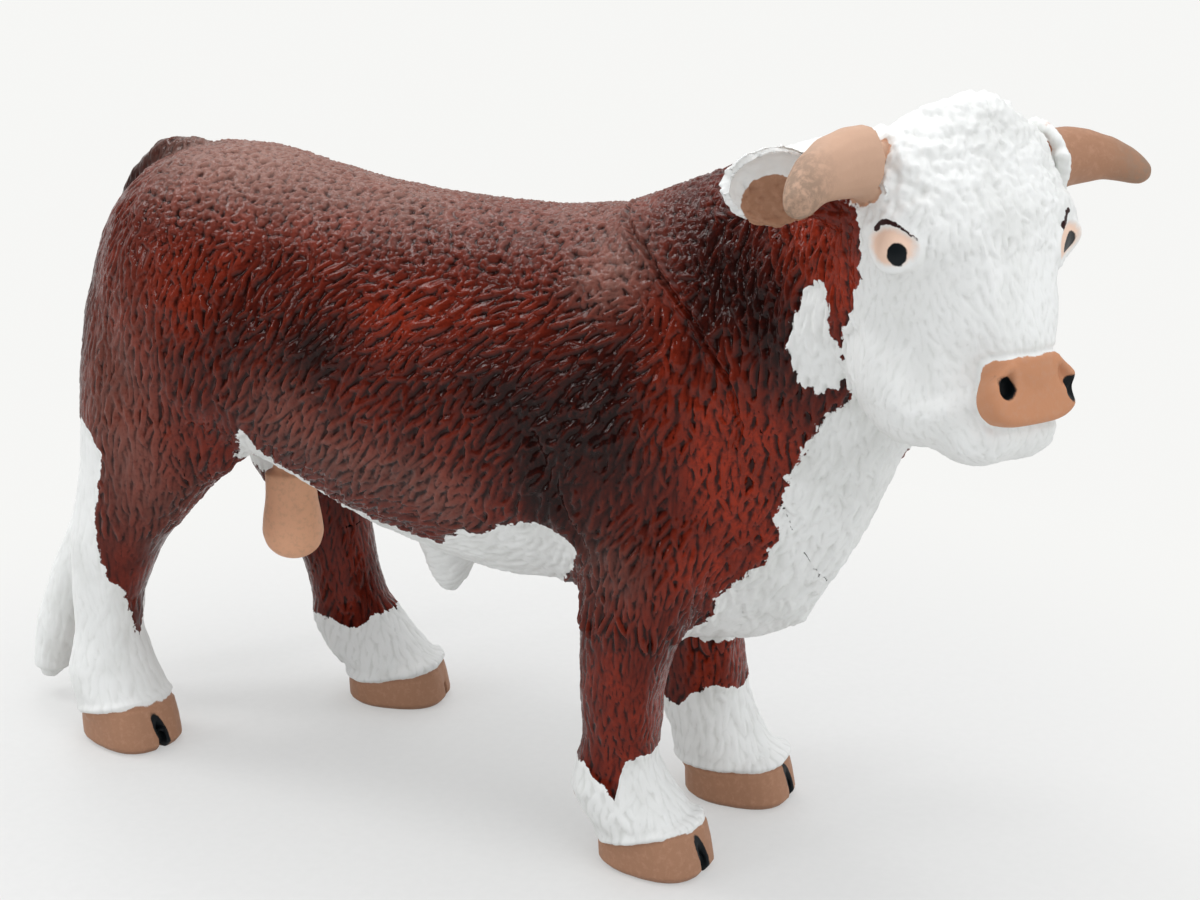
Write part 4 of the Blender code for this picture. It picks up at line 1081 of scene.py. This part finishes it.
# %% Stray faces
def tidy_labels(bm, labels):
    """Gives stray islands of faces to the piece that surrounds them."""
    for _ in range(4):
        changed = 0
        for face in bm.faces:
            beside = (other for edge in face.edges for other in edge.link_faces if other is not face)
            around = [labels[other.index] for other in beside]
            mine = labels[face.index]
            best = max(set(around), key=around.count)
            if best != mine and around.count(best) > around.count(mine):
                labels[face.index] = best
                changed += 1
        if not changed:
            break
    seen = np.zeros(len(labels), bool)
    islands = {}
    for face in bm.faces:
        if seen[face.index]:
            continue
        stack, island = [face], []
        seen[face.index] = True
        while stack:
            one = stack.pop()
            island.append(one.index)
            for edge in one.edges:
                for other in edge.link_faces:
                    if not seen[other.index] and labels[other.index] == labels[face.index]:
                        seen[other.index] = True
                        stack.append(other)
        islands.setdefault(labels[face.index], []).append(island)
    for label, groups in islands.items():
        groups.sort(key=len)
        for island in groups[:-1]:
            edge_labels = [labels[other.index] for i in island for edge in bm.faces[i].edges
                           for other in edge.link_faces if labels[other.index] != label]
            home = max(set(edge_labels), key=edge_labels.count)
            for i in island:
                labels[i] = home
    return labels


# %% The cut
def cut_into_pieces(skin):
    shading = read_rows(skin.data.vertices, "normal")
    whole = skin.data.attributes.new("whole_normal", "FLOAT_VECTOR", "POINT")
    whole.data.foreach_set("vector", shading.reshape(-1))
    vertex_label = piece_of_points()
    bm = bmesh.new()
    bm.from_mesh(skin.data)
    bm.faces.ensure_lookup_table()
    corners = ([int(vertex_label[v.index]) for v in f.verts] for f in bm.faces)
    labels = [max(set(around), key=around.count) for around in corners]
    labels = tidy_labels(bm, labels)
    bm.free()
    skin.data.attributes.new("piece", "INT", "FACE").data.foreach_set("value", labels)
    pieces = {}
    for number in range(len(piece_names) - 1, 0, -1):
        mine = read_rows(skin.data.attributes["piece"].data, "value", 1, np.int32)[:, 0]
        pick(skin)
        bpy.ops.object.mode_set(mode="EDIT")
        bpy.ops.mesh.select_mode(type="FACE")
        bpy.ops.mesh.select_all(action="DESELECT")
        bpy.ops.object.mode_set(mode="OBJECT")
        skin.data.polygons.foreach_set("select", mine == number)
        bpy.ops.object.mode_set(mode="EDIT")
        bpy.ops.mesh.separate(type="SELECTED")
        bpy.ops.object.mode_set(mode="OBJECT")
        cut = next(o for o in bpy.context.selected_objects if o is not skin)
        cut.name = cut.data.name = piece_names[number]
        pieces[piece_names[number]] = cut
    skin.name = skin.data.name = piece_names[0]
    pieces[piece_names[0]] = skin
    return pieces


# %% Closing the ends
def shave_flaps(mesh):
    """Takes off loose faces that hang on an edge between two others."""
    bm = bmesh.new()
    bm.from_mesh(mesh)
    for _ in range(4):
        over = [f for f in bm.faces if all(len(e.link_faces) != 2 for e in f.edges)
                and any(len(e.link_faces) > 2 for e in f.edges)]
        if not over:
            break
        bmesh.ops.delete(bm, geom=over, context="FACES_ONLY")
    lone = [e for e in bm.edges if not e.link_faces]
    bmesh.ops.delete(bm, geom=lone, context="EDGES")
    bm.to_mesh(mesh)
    bm.free()


def fill_open_ends(obj):
    pick(obj)
    bpy.ops.object.mode_set(mode="EDIT")
    bpy.ops.mesh.select_mode(type="EDGE")
    bpy.ops.mesh.select_all(action="DESELECT")
    bpy.ops.mesh.select_non_manifold(extend=False, use_wire=False, use_multi_face=False,
                                     use_non_contiguous=False, use_verts=False)
    bpy.ops.mesh.fill_holes(sides=0)
    bpy.ops.mesh.select_all(action="SELECT")
    bpy.ops.mesh.quads_convert_to_tris(quad_method="SHORTEST_DIAGONAL", ngon_method="BEAUTY")
    bpy.ops.object.mode_set(mode="OBJECT")


def close_ends(obj):
    """Closes the cut ends and keeps the shading that the skin had before the cut."""
    fill_open_ends(obj)
    shave_flaps(obj.data)
    fill_open_ends(obj)
    mesh = obj.data
    mesh.polygons.foreach_set("use_smooth", [True] * len(mesh.polygons))
    shading = read_rows(mesh.attributes["whole_normal"].data, "vector")
    mesh.normals_split_custom_set_from_vertices(shading.tolist())
    bm = bmesh.new()
    bm.from_mesh(mesh)
    open_edges = sum(not e.is_manifold for e in bm.edges)
    volume = bm.calc_volume(signed=True) / millimetre ** 3
    bm.free()
    print(obj.name, len(mesh.polygons), "triangles,", open_edges, "open edges,", round(volume), "mm3")


pieces = cut_into_pieces(skin)
for piece in pieces.values():
    close_ends(piece)

# %% [markdown]
# ## The paints
#
# One helper adds a node, others add a sum, a product or a blend, and one turns a stored distance
# into a frayed edge. The patterns all read Object coordinates in millimetres, so they stay put on
# the figure.


# %% Node helpers
def add(tree, kind, inputs=(), **settings):
    made = tree.nodes.new(kind)
    for key, value in settings.items():
        setattr(made, key, value)
    for key, value in dict(inputs).items():
        if isinstance(value, bpy.types.NodeSocket):
            tree.links.new(value, made.inputs[key])
        else:
            made.inputs[key].default_value = value
    return made


def worked_out(tree, operation, first, second):
    return add(tree, "ShaderNodeMath", {0: first, 1: second}, operation=operation).outputs[0]


def plus(tree, first, second):
    return worked_out(tree, "ADD", first, second)


def times(tree, first, second):
    return worked_out(tree, "MULTIPLY", first, second)


def stored(tree, name):
    return add(tree, "ShaderNodeAttribute", attribute_name=name).outputs["Fac"]


def blend(tree, share, first, second):
    return add(tree, "ShaderNodeMix", {0: share, 6: first, 7: second}, data_type="RGBA").outputs[2]


def blend_number(tree, share, first, second):
    return add(tree, "ShaderNodeMix", {0: share, 2: first, 3: second}, data_type="FLOAT").outputs[0]


def spread(tree, value, low, high, new_low=0.0, new_high=1.0):
    return add(tree, "ShaderNodeMapRange", {0: value, 1: low, 2: high, 3: new_low, 4: new_high},
               interpolation_type="SMOOTHSTEP").outputs[0]


def noise(tree, place, scale, detail=3.0, roughness=0.55):
    return add(tree, "ShaderNodeTexNoise", {"Vector": place, "Scale": scale, "Detail": detail,
                                            "Roughness": roughness}).outputs["Fac"]


def places(tree, squeeze=(1, 1, 1)):
    """Object coordinates in millimetres, squeezed along an axis to draw a grain out."""
    source = add(tree, "ShaderNodeTexCoord").outputs["Object"]
    scale = tuple(1 / millimetre * share for share in squeeze)
    return add(tree, "ShaderNodeMapping", {"Vector": source, "Scale": scale}).outputs["Vector"]


# %% A paint and its edges
def new_paint(name):
    """A material, its tree, its shader and the place that its patterns read."""
    material = bpy.data.materials.new(name)
    material.use_nodes = True
    tree = material.node_tree
    return material, tree, tree.nodes["Principled BSDF"], places(tree)


def roughen(tree, shader, height, strength):
    """Unevenness up to a tenth of a millimetre, too fine to model."""
    bump = add(tree, "ShaderNodeBump", {"Height": height, "Strength": strength, "Distance": 0.1 * millimetre})
    tree.links.new(bump.outputs["Normal"], shader.inputs["Normal"])


def wandering(tree, distance, place, size, reach):
    """A distance to a paint edge, pushed to and fro by noise."""
    push = spread(tree, noise(tree, place, size, 3.0, 0.6), 0.25, 0.75, -reach, reach)
    return plus(tree, distance, push)


def covered(tree, distance, softness):
    return spread(tree, distance, -softness, softness)


def painted_area(tree, name, place, size, reach, softness):
    """The share of paint in a stored area, whose edge wanders and is a little soft."""
    return covered(tree, wandering(tree, stored(tree, name), place, size, reach), softness)


# %% [markdown]
# ### Oxblood, white, tan and the small dark marks
#
# The same paints are on every moulding, so one recipe mixes them and each slot gets its own copy
# under its name. Gloss is highest on the brown, satin on the white, and nearly flat on the
# tan.

# %% The colours of the paints
oxblood = (0.075, 0.0075, 0.0034, 1)
wiped_red = (0.290, 0.026, 0.0080, 1)
# painted shade on the brown coat
shade_brown = (0.0105, 0.0030, 0.0026, 1)
# milky worn brown, and painted sheen on the top of the back
milky_and_sheen_brown = (0.265, 0.138, 0.108, 1)
worn_ridge = (0.165, 0.022, 0.010, 1)
# the valleys of the fur: brown wash pooled there, deepened as painted shade
groove_wash_and_shade = (0.0110, 0.0020, 0.0013, 1)
white_paint = (0.805, 0.81, 0.785, 1)
# painted shade in the white's valleys, also used for random blotches
white_shade = (0.55, 0.555, 0.515, 1)
tan_paint = (0.37, 0.195, 0.116, 1)
# painted highlight for the right horn
lit_horn_tan = (0.58, 0.38, 0.27, 1)
tan_worn = (0.51, 0.285, 0.185, 1)
tan_smudge = (0.27, 0.185, 0.130, 1)
# painted shade in the tan's valleys
tan_groove_shade = (0.20, 0.085, 0.045, 1)
flesh_ring = (0.84, 0.60, 0.46, 1)
brow_brown = (0.030, 0.008, 0.008, 1)
blue_black = (0.005, 0.008, 0.010, 1)
warm_tan = (0.52, 0.245, 0.130, 1)
# painted light: the pouch's tan is much lighter than the other tans
lit_pouch_tan = (0.80, 0.43, 0.26, 1)
gloss_low, gloss_high = 0.10, 0.22   # roughness of the brown, from its glossiest to its dullest
milky_and_sheen_rough, white_rough, tan_rough, dark_rough = 0.34, 0.46, 0.52, 0.50


# %% The painted vinyl
def painted_vinyl(name, tan_paint):
    material, tree, shader, place = new_paint(name)
    relief = stored(tree, "relief")
    lift = spread(tree, relief, 0.0, 1.0, -0.16, 0.16)
    white_edge = wandering(tree, plus(tree, stored(tree, "white"), lift), place, 0.45, 0.45)
    in_white = covered(tree, wandering(tree, white_edge, place, 1.7, 0.14), 0.07)
    in_tan = painted_area(tree, "tan", place, 0.5, 0.16, 0.06)
    in_dark = painted_area(tree, "dark", place, 1.6, 0.06, 0.09)
    in_ring = painted_area(tree, "ring", place, 1.2, 0.10, 0.45)
    in_brow = painted_area(tree, "brow", place, 2.0, 0.05, 0.05)

    patches = noise(tree, place, 0.16, 3.0, 0.6)
    specks = noise(tree, place, 1.4, 4.0, 0.65)
    thin = plus(tree, stored(tree, "thin"), spread(tree, patches, 0.42, 0.75, 0.0, 0.45))
    thin = times(tree, thin, spread(tree, specks, 0.30, 0.62, 0.35, 1.0))
    brown = blend(tree, thin, oxblood, wiped_red)
    # painted shade: the brown goes nearly black in its spots, and the tail's brown is darkened
    shade_and_dark_tail = times(tree, stored(tree, "shade_and_dark_tail"), spread(tree, specks, 0.25, 0.6, 0.6, 1.0))
    brown = blend(tree, shade_and_dark_tail, brown, shade_brown)
    ridge = spread(tree, relief, 0.60, 1.0, 0.0, 0.5)
    brown = blend(tree, times(tree, ridge, spread(tree, shade_and_dark_tail, 0.2, 0.9, 1.0, 0.15)), brown, worn_ridge)
    # milky worn gloss, and painted sheen on top of the back and shoulder
    milky_and_sheen = times(tree, stored(tree, "milky_and_sheen"), spread(tree, specks, 0.25, 0.6, 0.45, 1.0))
    brown = blend(tree, milky_and_sheen, brown, milky_and_sheen_brown)
    # the valleys of the fur: pooled wash, deepened as painted shade
    groove = spread(tree, relief, 0.08, 0.60, 0.92, 0.0)
    brown = blend(tree, times(tree, groove, spread(tree, milky_and_sheen, 0.2, 0.9, 1.0, 0.42)), brown, groove_wash_and_shade)

    # painted shade: the white goes grey in the valleys of the fur
    hollow = spread(tree, relief, 0.05, 0.60, 0.42, 0.0)
    white = blend(tree, hollow, white_paint, white_shade)
    white = blend(tree, spread(tree, patches, 0.45, 0.7, 0.0, 0.25), white, white_shade)
    tan = blend(tree, spread(tree, specks, 0.45, 0.72, 0.0, 0.4), tan_paint, tan_worn)
    # painted highlight: the right horn is paler
    tan = blend(tree, times(tree, stored(tree, "pale"), 0.75), tan, lit_horn_tan)
    smudge = spread(tree, stored(tree, "tip"), 0.45, 0.95)
    tan = blend(tree, times(tree, smudge, spread(tree, specks, 0.35, 0.6, 0.25, 0.9)), tan, tan_smudge)
    # painted shade: the tan is darker in the valleys of the fur
    tan = blend(tree, spread(tree, relief, 0.10, 0.58, 0.8, 0.0), tan, tan_groove_shade)

    colour = brown
    for share, paint in ((in_white, white), (in_tan, tan), (in_ring, flesh_ring), (in_brow, brow_brown),
                         (in_dark, blue_black)):
        colour = blend(tree, share, colour, paint)
    tree.links.new(colour, shader.inputs["Base Color"])

    rough = spread(tree, specks, 0.3, 0.7, gloss_low, gloss_high)
    for share, roughness in ((milky_and_sheen, milky_and_sheen_rough), (in_white, white_rough), (in_tan, tan_rough),
                             (in_dark, dark_rough)):
        rough = blend_number(tree, share, rough, roughness)
    tree.links.new(rough, shader.inputs["Roughness"])
    shader.inputs["Specular IOR Level"].default_value = 0.17

    roughen(tree, shader, noise(tree, places(tree, (1, 1, 0.45)), 3.2, 4.0, 0.6), 0.22)
    return material


# %% Painting the pieces
finishes = {slot: painted_vinyl("painted_" + slot, tan_paint) for slot in ("coat", "horn", "ear", "tail")}
finishes["face"] = painted_vinyl("painted_face", warm_tan)
# painted light on the pouch
finishes["skin"] = painted_vinyl("painted_skin", lit_pouch_tan)
piece_slots = {"coat_head": "face", "coat_neck": "face", "horn_right": "horn", "horn_left": "horn",
               "ear_right": "ear", "ear_left": "ear", "tail": "tail", "scrotum": "skin"}
piece_nodes = {"coat_head": "head_neck", "coat_neck": "head_neck"}

for name, piece in pieces.items():
    slot = piece_slots.get(name, "coat")
    piece.data.materials.clear()
    piece.data.materials.append(finishes[slot])
    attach(piece, "root")
    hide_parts(piece_nodes.get(name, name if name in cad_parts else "body"))
    print(name, "is painted as", slot)

# %% [markdown]
# ## Floor and light
#
# A sheet of pale paper, a broad soft light overhead, three weaker ones from the left and from
# behind that draw the gloss on the back, and a weak broad one from ahead that lifts the muzzle. The
# paper fades into the white surround, so there is no horizon.

# %% Paper floor
floor_half = 1.2
floor_white = (0.60, 0.60, 0.59, 1)
surround_white = (0.925, 0.925, 0.91, 1)
fade_from, fade_to = 0.04, 0.13   # metres from the figure's middle over which the paper fades


def seen_directly(tree):
    path = add(tree, "ShaderNodeLightPath")
    either = worked_out(tree, "MAXIMUM", path.outputs["Is Camera Ray"], path.outputs["Is Glossy Ray"])
    return worked_out(tree, "MAXIMUM", either, path.outputs["Is Transmission Ray"])


def paper_material():
    material, tree, shader, place = new_paint("pale_paper")
    grain = noise(tree, place, 0.8, 3.0, 0.6)
    tree.links.new(blend(tree, spread(tree, grain, 0.3, 0.7, 0.0, 0.06), floor_white, surround_white),
                   shader.inputs["Base Color"])
    shader.inputs["Roughness"].default_value = 0.8
    roughen(tree, shader, grain, 0.05)
    reach = add(tree, "ShaderNodeVectorMath", {0: add(tree, "ShaderNodeTexCoord").outputs["Object"]},
                operation="LENGTH").outputs["Value"]
    away = times(tree, spread(tree, reach, fade_from, fade_to, 0.40, 1.0), seen_directly(tree))
    glow = add(tree, "ShaderNodeEmission", {"Color": surround_white, "Strength": 1.0})
    both = add(tree, "ShaderNodeMixShader", {0: away, 1: shader.outputs[0], 2: glow.outputs[0]})
    tree.links.new(both.outputs[0], tree.nodes["Material Output"].inputs["Surface"])
    return material


bpy.ops.mesh.primitive_grid_add(x_subdivisions=4, y_subdivisions=4, size=2 * floor_half, location=(0, 0, 0))
floor = bpy.context.active_object
floor.name = "paper"
floor.data.materials.append(paper_material())
print("paper is", 2 * floor_half, "m wide")

# %% The surround
surround_strength = 0.79
surround_tint = (0.93, 0.95, 1.0, 1)
room_side = (0.45, -0.80, 0.35)   # the camera's side of the room, darker in reflections


def set_surround():
    world = bpy.data.worlds.new("surround")
    bpy.context.scene.world = world
    world.use_nodes = True
    tree = world.node_tree
    dim = tree.nodes["Background"]
    dim.inputs["Color"].default_value = surround_tint
    dim.inputs["Strength"].default_value = surround_strength
    path = add(tree, "ShaderNodeLightPath")
    heading = add(tree, "ShaderNodeVectorMath", {0: add(tree, "ShaderNodeTexCoord").outputs["Generated"],
                                                 1: room_side}, operation="DOT_PRODUCT").outputs["Value"]
    behind = spread(tree, heading, -0.75, 0.35, 1.0, 0.06)
    mirrored = blend(tree, behind, (0, 0, 0, 1), surround_white)
    shown = blend(tree, path.outputs["Is Glossy Ray"], surround_white, mirrored)
    seen = add(tree, "ShaderNodeBackground", {"Color": shown, "Strength": 1.0})
    both = add(tree, "ShaderNodeMixShader", {0: seen_directly(tree), 1: dim.outputs[0], 2: seen.outputs[0]})
    tree.links.new(both.outputs[0], tree.nodes["World Output"].inputs["Surface"])


set_surround()
print("surround at", surround_strength)


# %% Soft studio light
def soft_light(name, place, aim, size, power):
    bpy.ops.object.light_add(type="AREA", location=place)
    light = bpy.context.active_object
    light.name = name
    look_along(light, Vector(aim) - Vector(place))
    light.data.shape = "RECTANGLE"
    light.data.size, light.data.size_y = size
    light.data.energy = power
    print(name, "gives", power, "W")


soft_light("window", (0.08, 0.02, 0.62), (0, 0, 0.03), (0.60, 0.50), 1.35)
soft_light("left_high", (-0.36, -0.06, 0.50), (0, 0, 0.04), (0.14, 0.20), 0.85)
soft_light("left_low", (-0.34, -0.42, 0.32), (0, 0, 0.04), (0.08, 0.10), 0.40)
soft_light("behind", (-0.26, 0.22, 0.50), (0, 0, 0.04), (0.14, 0.14), 0.35)
soft_light("nose_fill", (0.45, -0.10, 0.30), (0, 0, 0.05), (0.40, 0.40), 0.60)

scene = bpy.context.scene
scene.view_settings.view_transform = "Standard"
